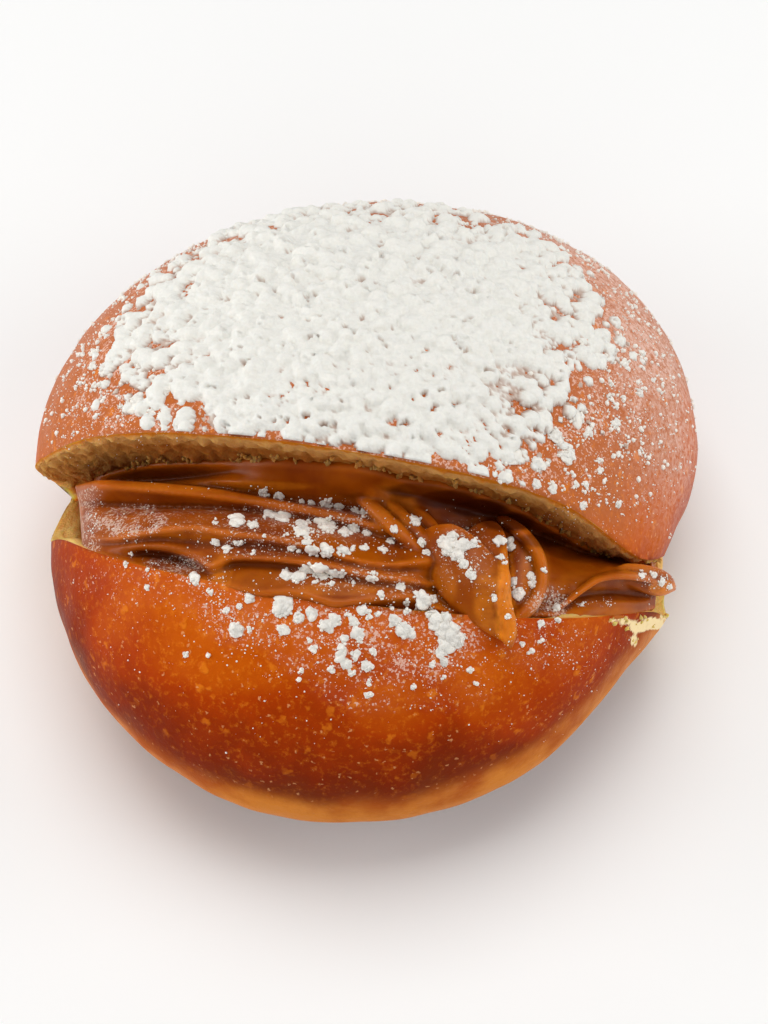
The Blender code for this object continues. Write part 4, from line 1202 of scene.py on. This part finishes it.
# Drifts of clumps by their place in the picture: across, down, radius
sugarDrifts = (
    (238, 520, 8), (252, 526, 6), (270, 515, 7), (283, 518, 7), (304, 528, 11), (326, 526, 11),
    (307, 541, 5), (345, 532, 5), (355, 528, 5), (367, 533, 4.5), (265, 492, 5), (278, 496, 5),
    (302, 503, 3), (311, 503, 3), (327, 503, 6), (338, 508, 4), (355, 511, 4), (365, 514, 5),
    (215, 543, 4), (227, 550, 4.5), (239, 542, 4.5), (253, 553, 2.5), (292, 549, 4), (300, 551, 2.5),
    (314, 551, 6), (325, 551, 7), (343, 551, 6), (353, 549, 3), (364, 547, 4), (287, 574, 6),
    (296, 577, 6), (308, 569, 6), (320, 571, 8), (332, 574, 6), (342, 574, 4), (316, 582, 2.5),
    (331, 584, 3), (373, 577, 6), (352, 583, 2.5), (216, 522, 3), (262.5, 536, 2.2), (285, 535, 2.6),
    (391, 541, 4.5), (384, 550, 4.5), (394, 529, 4), (415, 520, 6), (422, 543, 4.5), (427, 553, 4),
    (444, 540, 5), (453, 537, 6), (450, 548, 8), (462, 545, 7), (474, 543, 6), (457, 556, 6),
    (463, 563, 5), (471, 574, 5), (499, 541, 5.5), (509, 545, 6), (500, 557, 3.5), (505, 562, 2.5),
    (512, 584, 4.5), (519, 592, 5.5), (532, 577, 4), (532, 584, 4), (529, 559, 2.5), (544, 570, 2.5),
    (494, 598, 3.5), (508, 617, 3), (401, 587, 4.5), (381, 595, 4), (641, 575, 4.5), (653, 575, 4),
    (662, 581, 4.5), (670, 586, 3.5), (581, 604, 2.5), (556, 608, 3.5), (417, 596, 4.5), (424, 603, 8),
    (432, 600, 5), (430, 612, 5), (436, 622, 7), (446, 618, 5), (442, 630, 8), (452, 633, 9),
    (460, 641, 6), (447, 642, 7), (441, 652, 5), (445, 662, 4), (432, 665, 3), (393, 622, 5.5),
    (402, 627, 7), (408, 632, 5.5), (406, 602, 3.5), (407, 612, 3.5), (392, 607, 2.6), (361, 611, 4.5),
    (369, 611, 3), (369, 617, 3), (378, 614, 3.2), (354, 622, 4.5), (358, 633, 6.5), (361, 640, 3.5),
    (344, 637, 3.4), (343, 648, 4.5), (341, 657, 5.5), (309, 640, 2.6), (314, 648, 4), (355, 654, 4.5),
    (348, 665, 5.5), (352, 673, 3.6), (368, 666, 5.5), (373, 652, 3.4), (332, 669, 4), (369, 683, 3),
    (368, 695, 3.6), (301, 671, 2.8), (299, 679, 1.8), (283, 608, 10), (283, 629, 5.5), (299, 617, 5.5),
    (237, 628, 6.5), (250, 629, 3.4), (248, 598, 4.5), (240, 606, 3.4), (226, 610, 2.6), (312, 612, 5),
    (325, 626, 7), (335, 621, 6), (347, 614, 3.2), (126, 565, 3.8), (148, 587, 3), (147, 569, 2),
    (192, 578, 6), (210, 592, 3.6), (413, 686, 2.4), (443, 677, 2.6), (476, 684, 2), (470, 670, 3),
    (541, 623, 3.6), (541, 641, 2.6), (522, 644, 3), (530, 651, 3), (558, 620, 2.6), (131, 554, 2),
    (186, 654, 2.4), (208, 655, 2), (640, 452, 3), (600, 470, 3.5), (583, 507, 3.5), (576, 485, 4),
    (553, 489, 4.5), (536, 484, 5), (537, 465, 6), (565, 455, 3), (585, 486, 4), (641, 352, 4),
    (625, 364, 5), (653, 379, 3), (642, 367, 3), (610, 398, 4), (615, 424, 5), (589, 433, 6),
    (577, 416, 8), (568, 457, 7), (556, 436, 8), (598, 364, 5), (504, 478, 6), (511, 454, 9),
    (660, 392, 2.5), (584, 505, 4), (618, 504, 3.5), (599, 460, 3), (663, 355, 2), (135, 403, 9),
    (125, 408, 6), (103, 399, 4), (97, 416, 3.5), (93, 353, 4), (116, 349, 4.5), (105, 370, 7),
    (93, 366, 5), (124, 299, 4), (178, 426, 5), (189, 422, 5), (166, 391, 5), (155, 380, 4),
    (174, 380, 4), (81, 383, 2.5), (150, 412, 4), (128, 380, 5), (140, 365, 5), (100, 385, 3),
)

# Fields of specks by their place in the picture: across, down, half width, half height, number
speckFields = (
    (260, 620, 60, 40, 420), (350, 640, 70, 55, 640), (440, 640, 60, 50, 560), (150, 575, 75, 24, 240),
    (200, 590, 40, 30, 240), (130, 640, 70, 70, 60), (250, 690, 120, 60, 90), (400, 710, 120, 50, 80),
    (540, 650, 60, 40, 260), (590, 650, 50, 40, 110), (520, 710, 60, 40, 60), (300, 525, 80, 26, 520),
    (240, 545, 60, 16, 160), (330, 578, 56, 14, 300), (470, 560, 50, 46, 320), (390, 560, 40, 40, 160),
    (550, 602, 26, 16, 200), (600, 603, 40, 6, 90), (655, 578, 22, 12, 120), (133, 520, 34, 18, 420),
    (178, 565, 32, 9, 200), (92, 520, 9, 34, 120), (215, 489, 90, 6, 70), (620, 400, 60, 90, 700),
    (640, 320, 40, 60, 500), (590, 500, 60, 40, 360), (130, 390, 60, 60, 480), (110, 420, 60, 30, 300),
    (160, 290, 50, 40, 300), (660, 450, 30, 60, 300), (70, 420, 40, 40, 160),
)


def capInside(x, y):
    # how far inside the cap's outline a place is, in millimetres, and how wide its thin edge is there
    table = np.array(sugar["outline"])
    arms = table[:, :2] - np.array(sugar["centre"])
    angles = np.arctan2(arms[:, 1], arms[:, 0])
    order = np.argsort(angles)
    angles, radii, widths = angles[order], np.hypot(arms[:, 0], arms[:, 1])[order], table[order, 2]
    dx, dy = x - sugar["centre"][0], y - sugar["centre"][1]
    around = np.arctan2(dy, dx)
    reach = np.interp(around, angles, radii, period=2 * math.pi)
    return reach - np.hypot(dx, dy), np.interp(around, angles, widths, period=2 * math.pi)


def sugarMaterial(name, white):
    material, tree, shader = newMaterial(name)
    tone = ramp(tree, noiseTexture(tree, 0.5, 4.0, 0.65), (
        (0.3, tuple(0.93 * v for v in white)), (0.6, white),
    ))
    tone = blendColour(tree, painted(tree, "thinAndShaded"), tone, sugar["thinAndShaded"])
    setInputs(tree, shader, {
        "Base Color": tone,
        "Roughness": 0.95,
        "Specular IOR Level": 0.15,
        "Subsurface Weight": 0.3,
        "Subsurface Radius": (1.0, 0.9, 0.8),
        "Subsurface Scale": 0.0005,
    })
    bump(tree, shader, noiseTexture(tree, 0.4, 4.0, 0.7), 0.3, 0.7)
    return material


def placesTree(points):
    tree = kdtree.KDTree(len(points))
    for k, p in enumerate(points):
        tree.insert(Vector(p), k)
    tree.balance()
    return tree


def capDensity(skin, share, lipAway):
    # how closely the sugar lies, broken up into patches towards the edges
    cover = np.clip(np.minimum(share, lipAway / sugar["lipEdge"]), -0.5, 1.0)
    apart, patchSize = sugar["patches"]
    dense = smoothStep((cover * 1.45 + apart * fbm(skin, patchSize, 3, 5.0) - 0.50) / 0.36)
    dense = dense * smoothStep(cover / 0.1 + 1.0)
    return dense * smoothStep((lipAway - 0.15 - 0.5 * fbm(skin, 1.6, 2, 13.0)) / 0.4)


def capLumps(skin, share, dense):
    # round lumps that run into each other, fewer and smaller near the edge
    rng = np.random.default_rng(sugar["seed"])
    tree = placesTree(skin)
    heap = np.zeros(len(skin))
    crowded = dense * mixed(0.3, 1.0, smoothStep((share - 0.3) / 0.6))
    largest = mixed(0.6, 1.0, dense) * mixed(0.5, 1.0, smoothStep(share / 0.8))
    for _ in range(sugar["lumps"]):
        k = int(rng.integers(len(skin)))
        keep, size = rng.random(), rng.random()
        if keep > crowded[k]:
            continue
        radius = mixed(*sugar["lumpSizes"], size ** 1.7) * largest[k]
        for _, j, distance in tree.find_range(Vector(skin[k]), radius):
            dome = sugar["lumpHeight"] * radius * math.sqrt(1.0 - (distance / radius) ** 2)
            heap[j] = (heap[j] ** 5 + dome ** 5) ** 0.2
    return heap


def capHeights(skin, inside, width, lipAway, dense):
    # an even bed with soft swells under the lumps, a fine grain over them, and some bare pits
    heap = capLumps(skin, inside / width, dense)
    bedHeight, bedSize = sugar["bed"]
    swell, swellSize = sugar["swell"]
    grainHeight, grainSize = sugar["grain"]
    pitSize, rare, pitFloor = sugar["pits"]
    bed = smoothStep((inside - 0.55 * width) / (0.4 * width + sugar["bedSlope"]))
    bed = bed * smoothStep((dense - 0.3) / 0.5) * smoothStep((lipAway - 0.5) / 1.5)
    thickness = bed * bedHeight * mixed(0.3, 1.0, smoothStep(0.55 + 0.9 * fbm(skin, bedSize, 2, 8.0)))
    waves = swell * (1.0 + fbm(skin, swellSize, 2, 7.0)) + 0.10
    rough = grainHeight * fbm(skin, grainSize, 2, 6.0) - 0.2
    height = (thickness ** 4 + heap ** 4) ** 0.25 + rough + bed * waves
    pits = smoothStep((fbm(skin, pitSize, 2, 9.0) - rare) / 0.2)
    return mixed(height, pitFloor, pits * smoothStep((dense - 0.4) / 0.3))


def pinchedFaces(bm):
    # faces at the places where the sheet meets itself only at a corner
    corners = {v for v in bm.verts if sum(e.is_boundary for e in v.link_edges) > 2}
    return [f for f in bm.faces if any(v in corners for v in f.verts)]


def makeSugarCap(material):
    bm = bmesh.new()
    bmesh.ops.create_grid(bm, x_segments=sugar["columns"], y_segments=sugar["rows"], size=0.5)
    co = placesOf(bm)
    page = np.radians(mixed(*sugar["pages"], co[:, 0] + 0.5))
    lean = np.radians(mixed(*sugar["leans"], co[:, 1] + 0.5))
    skin = skinPoint(page, lean)[0]
    outward = skin - skinPoint(page, lean, -1.0)[0]
    inside, width = capInside(skin[:, 0], skin[:, 1])
    lipAway = page * np.linalg.norm(skin - slitFoot, axis=1)
    dense = capDensity(skin, inside / width, lipAway)
    height = capHeights(skin, inside, width, lipAway, dense)

    moveVerts(bm, toFrame(skin - outward * sugar["below"]))
    bm.verts.index_update()
    number = bm.verts.layers.int.new("number")
    for v in bm.verts:
        v[number] = v.index
    bare = [f for f in bm.faces if max(height[v.index] for v in f.verts) <= sugar["bareBelow"]]
    while bare:
        bmesh.ops.delete(bm, geom=bare, context="FACES")
        bare = pinchedFaces(bm)
    grown = bmesh.ops.extrude_face_region(bm, geom=list(bm.faces), use_keep_orig=True)
    top = toFrame(skin + outward * np.maximum(height, sugar["deepest"])[:, None])
    for v in grown["geom"]:
        if isinstance(v, bmesh.types.BMVert):
            v.co = top[v[number]]
    bmesh.ops.recalc_face_normals(bm, faces=bm.faces)
    # crust showing through thin sugar, with painted shade in the pits and gaps
    thinAndShadedShare = smoothStep((sugar["thinLayer"] - height) / sugar["thinLayer"])
    thinAndShadedShare = 0.75 * thinAndShadedShare * smoothStep((dense - 0.5) / 0.3)
    thinAndShadedShare = thinAndShadedShare[[v[number] for v in bm.verts]]
    piece = makePiece("sugarCap", bm, [material])
    paint(piece, "thinAndShaded", thinAndShadedShare)
    return piece


def roundTemplates(level, count, rough):
    # a few rough little balls, as arrays of places and of faces
    made = []
    for k in range(count):
        bm = bmesh.new()
        bmesh.ops.create_icosphere(bm, subdivisions=level, radius=1.0)
        co = placesOf(bm)
        co *= (1.0 + rough * fbm(co, 0.9, 2, 20.0 + k))[:, None]
        made.append((co, np.array([[v.index for v in f.verts] for f in bm.faces])))
        bm.free()
    return made


def scatteredPiece(name, templates, spots, material, rng):
    # one mesh of many small things, each spot being (place, outward direction, three half sizes)
    verts, faces, count = [], [], 0
    for place, outward, sizes in spots:
        co, ends = templates[int(rng.integers(len(templates)))]
        side = np.cross(outward, rng.normal(size=3))
        side /= np.linalg.norm(side)
        axes = np.array([side, np.cross(outward, side), outward])
        verts.append(place + (co * sizes) @ axes)
        faces.append(ends + count)
        count += len(co)
    mesh = bpy.data.meshes.new(name)
    mesh.from_pydata(np.concatenate(verts).tolist(), [], np.concatenate(faces).tolist())
    return pieceOf(name, mesh, [material])


def surfaceTrees(pieces):
    graph = bpy.context.evaluated_depsgraph_get()
    return [BVHTree.FromObject(piece, graph) for piece in pieces]


def firstHit(trees, start, direction, reach=1.0):
    found = None
    for tree in trees:
        place, normal, _, distance = tree.ray_cast(start, direction, reach)
        if place is not None and (found is None or distance < found[2]):
            found = (np.array(place), np.array(normal), distance)
    return found


def seenHit(trees, across, down):
    return firstHit(trees, Vector(viewPlace), sightLine(across, down))


def lumpOn(hit, size, lift, spread, rng):
    # a small thing on a surface, lifted by a share of its size, with its three half sizes spread about it
    return hit[0] + hit[1] * size * lift, hit[1], size * rng.uniform(*spread, 3)


def driftSpots(trees, rng):
    # each drift is a few flat rough bodies with smaller lumps on and round them
    bodies, lumps = [], []
    pixel = view["distance"] / view["focalPixels"] * mm
    for across, down, radius in sugarDrifts:
        middle = seenHit(trees, across, down)
        if middle is None:
            continue

        def near(reach):
            turn, away = rng.random() * 2 * math.pi, reach * math.sqrt(rng.random())
            hit = seenHit(trees, across + away * math.cos(turn), down + away * math.sin(turn))
            if hit is None or abs(hit[2] - middle[2]) > (0.6 + 0.25 * radius) * mm:
                return None, away
            return hit, away

        for _ in range(max(1, round(sugar["bodyShare"] * radius))):
            hit, _ = near(0.55 * radius)
            if hit is not None:
                size = min(radius, sugar["bodyLargest"]) * pixel * rng.uniform(*sugar["bodySizes"])
                sizes = size * np.array([rng.uniform(*limits) for limits in sugar["bodyForm"]])
                bodies.append((hit[0] + hit[1] * size * 0.12, hit[1], sizes))
        for _ in range(max(3, int(sugar["clumpShare"] * radius * radius))):
            hit, away = near(radius)
            if hit is not None:
                inner = 1.0 - away / radius
                size = mixed(*sugar["clumpSizes"], rng.random() * mixed(0.45, 1.0, inner)) * mm
                lift = mixed(0.1, 0.7, inner * rng.random())
                lumps.append(lumpOn(hit, size, lift, (0.75, 1.2), rng))
    return bodies, lumps


def speckSpots(trees, rng):
    spots = []

    def add(hit, patchy):
        if hit is None:
            return
        kept = noise.noise(Vector(hit[0]) / (sugar["speckPatches"] * mm))
        if patchy and rng.random() > 0.45 + 2.0 * kept:
            return
        size = mixed(*sugar["speckSizes"], rng.random() ** 2.5) * mm
        spots.append(lumpOn(hit, size, 0.2, (0.6, 1.3), rng))

    for across, down, radius in sugarDrifts:
        for _ in range(int(1.2 * radius)):
            shift = rng.normal(size=2) * radius * 0.9
            add(seenHit(trees, across + shift[0], down + shift[1]), False)
    for across, down, halfWidth, halfHeight, number in speckFields:
        for _ in range(number):
            shift = rng.normal(size=2) * 0.5
            add(seenHit(trees, across + shift[0] * halfWidth, down + shift[1] * halfHeight), True)
    return spots


def fringeSpots(tree, rng, number, reach, sizes, patch):
    # sugar on the flap round the cap, thinning out away from it, and in patches if they have a size
    page = np.radians(rng.uniform(*sugar["fringePages"], number * 6))
    lean = np.arccos(rng.uniform(-0.97, 0.97, number * 6))
    skin = skinPoint(page, lean)[0]
    outward = rowsUnit(skin - skinPoint(page, lean, -1.0)[0])
    inside, width = capInside(skin[:, 0], skin[:, 1])
    chance = np.where(inside > 0, np.clip(1.3 - inside / width, 0.0, 1.0), np.exp(inside / reach))
    if patch:
        chance = chance * 2.0 * smoothStep((fbm(skin, patch, 2, 51.0) + 0.1) / 0.3)
    spots = []
    for p, n, keep in zip(toFrame(skin), outward, chance):
        if rng.random() > keep * 0.5:
            continue
        hit = firstHit([tree], Vector(p + n * 0.004), Vector(-n), 0.008)
        if hit is not None:
            size = mixed(*sizes, rng.random() ** 2.5) * mm
            spots.append(lumpOn(hit, size, 0.2, (0.7, 1.2), rng))
        if len(spots) >= number:
            break
    return spots


capWhite = sugarMaterial("sugarOfCap", sugar["white"])
# painted light: the drifts' sugar is a lit copy of the cap's
driftWhiteLit = sugarMaterial("litSugarOfDrifts", sugar["driftWhiteLit"])
cap = makeSugarCap(capWhite)
print("sugar cap:", len(cap.data.polygons), "faces")

rng = np.random.default_rng(sugar["seed"] + 1)
surfaces = surfaceTrees([bun, filling])
bodyPlaces, clumpPlaces = driftSpots(surfaces, rng)
edgePlaces = fringeSpots(surfaces[0], rng, *sugar["edging"])
bodyForms = roundTemplates(level=3, count=6, rough=0.5)
bodies = scatteredPiece("sugarDrifts", bodyForms, bodyPlaces, driftWhiteLit, rng)
lumpForms = roundTemplates(level=2, count=6, rough=0.35)
clumps = scatteredPiece("sugarClumps", lumpForms, clumpPlaces, driftWhiteLit, rng)
edging = scatteredPiece("sugarEdging", lumpForms, edgePlaces, driftWhiteLit, rng)
print("sugar drifts, clumps and edging:", len(bodyPlaces), len(clumpPlaces), len(edgePlaces))
speckPlaces = speckSpots(surfaces, rng) + fringeSpots(surfaces[0], rng, *sugar["fringe"])
speckForms = roundTemplates(level=1, count=4, rough=0.2)
specks = scatteredPiece("sugarSpecks", speckForms, speckPlaces, driftWhiteLit, rng)
print("sugar specks:", len(speckPlaces))
for piece in (cap, bodies, clumps, edging, specks):
    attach(piece, "root")


# Torn crumb: small shreds that hang at the ragged edge under the flap and stand up at the torn corner
shreds = {
    "hanging": 300,
    "spans": (-37.0, 33.0),
    "across": 0.97,  # share across the mouth where they hang
    "sizes": (0.12, 0.32),
    "stretch": (1.0, 2.4),
    "corner": 24,
    "cornerSizes": (0.14, 0.34),
    "crumbShadeDepth": 3.5,  # they take the crumb's colour and its painted shade as from this deep
    "creams": (0.0, 0.8),  # share of cream in the hanging ones and in the corner's
    "seed": 31,
}


def hangingSpots(rng):
    spots = []
    span = rng.uniform(*shreds["spans"], shreds["hanging"])
    span = span[fbm(np.outer(span, (1.0, 0.0, 0.0)), 3.0, 2, 41.0) > -0.1]
    _, depth = lineAt(caramelLines["ceiling"], span)
    depth = depth + rng.normal(size=len(span)) * 1.0 - 0.6
    places = mouthPoint(span, np.full(len(span), shreds["across"]), lipReach(span) - depth)
    for p in toFrame(nudged(places, 1.0)):
        size = mixed(*shreds["sizes"], rng.random()) * mm
        hanging, outwards = rng.uniform(0.5, 1.2), rng.uniform(0.2, 1.2)
        lean = unit(-square * hanging - out * outwards + along * rng.normal() * 0.5)
        spots.append((p, lean, size * np.array([1.0, 1.0, rng.uniform(*shreds["stretch"])])))
    return spots


def cornerSpots(tree, rng):
    spots = []
    torn = bunSpots["torn"]
    for _ in range(shreds["corner"]):
        u, v, halfWidth, halfHeight, _ = torn[int(rng.integers(len(torn)))]
        shift = rng.normal(size=2) * 0.55
        hit = seenHit([tree], u + shift[0] * halfWidth, v + shift[1] * halfHeight)
        if hit is not None:
            size = mixed(*shreds["cornerSizes"], rng.random() ** 1.5) * mm
            spots.append(lumpOn(hit, size, 0.0, (0.6, 1.3), rng))
    return spots


def makeShreds():
    rng = np.random.default_rng(shreds["seed"])
    hanging, corner = hangingSpots(rng), cornerSpots(surfaces[0], rng)
    spots = hanging + corner
    forms = roundTemplates(level=2, count=6, rough=0.7)
    piece = scatteredPiece("crumbShreds", forms, spots, bun.data.materials[1], rng)
    count = len(piece.data.vertices)
    paint(piece, "cutDepth", np.full(count, shreds["crumbShadeDepth"]))
    cream = np.repeat(shreds["creams"], (len(hanging), len(corner)))
    paint(piece, "cream", np.repeat(cream, count // len(spots)))
    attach(piece, "root")
    print("crumb shreds:", len(spots))


makeShreds()


def dustAndLightOnBun():
    # fine dust on the crust round the cap and round the front drifts, a haze of dust and painted sheen on the
    # flap, and spots of torn crust, painted light and pale crumb
    here = readVerts(bun, "co")
    shape = (here - toFrame(np.zeros((1, 3)))) / mm
    inside, _ = capInside(shape[:, 0], shape[:, 1])
    upper = smoothStep((shape[:, 2] - 8.0) / 6.0)
    fringe = upper * (0.3 * smoothStep(1.0 + inside / 9.0) + 0.4 * smoothStep(inside / 4.0))
    facing = smoothStep((readVerts(bun, "normal") @ viewBack + 0.5) / 0.55)
    paint(bun, "dust", np.maximum(fringe, facing * spotted(here, bunSpots["dust"])))
    hazeAndSheen = np.zeros(len(here))
    for x, y, z, radius, strength in hazeAndSheenPlaces:
        far = np.linalg.norm(shape - np.array((x, y, z)), axis=1) / radius
        hazeAndSheen = np.maximum(hazeAndSheen, strength * np.exp(-far * far))
    paint(bun, "hazeAndSheen", hazeAndSheen)
    for name in ("torn", "paintedLight", "cream"):
        paint(bun, name, facing * spotted(here, bunSpots[name]))


dustAndLightOnBun()


# Floor and light
studio = {
    "world": 0.33,
    "floor": (0.93, 0.93, 0.92),
    "floorHalf": 2.0,
    "lamps": {  # watts, size in metres, place
        "overhead": (6.5, 0.8, (-0.06, 0.24, 1.05)),
        "left": (1.7, 0.35, (-0.62, -0.04, 0.16)),
        "right": (1.2, 0.35, (0.62, -0.02, 0.26)),
        "front": (2.0, 0.9, (0.05, -0.95, 0.50)),
    },
}


def makeStudio():
    bm = bmesh.new()
    bmesh.ops.create_grid(bm, x_segments=1, y_segments=1, size=studio["floorHalf"])
    material, tree, shader = newMaterial("paleFloor")
    setInputs(tree, shader, {"Base Color": (*studio["floor"], 1.0), "Roughness": 0.9})
    floor = makePiece("floor", bm, [material])
    for name, (power, size, place) in studio["lamps"].items():
        lamp = bpy.data.lights.new(name, "AREA")
        lamp.energy, lamp.size = power, size
        holder = newObject(name, lamp)
        holder.location = place
        holder.rotation_euler = (-Vector(place)).to_track_quat("-Z", "Y").to_euler()
    world = bpy.data.worlds.new("studio")
    bpy.context.scene.world = world
    world.use_nodes = True
    world.node_tree.nodes["Background"].inputs[0].default_value = (1.0, 1.0, 1.0, 1.0)
    world.node_tree.nodes["Background"].inputs[1].default_value = studio["world"]
    bpy.context.scene.view_settings.view_transform = "Standard"


makeStudio()
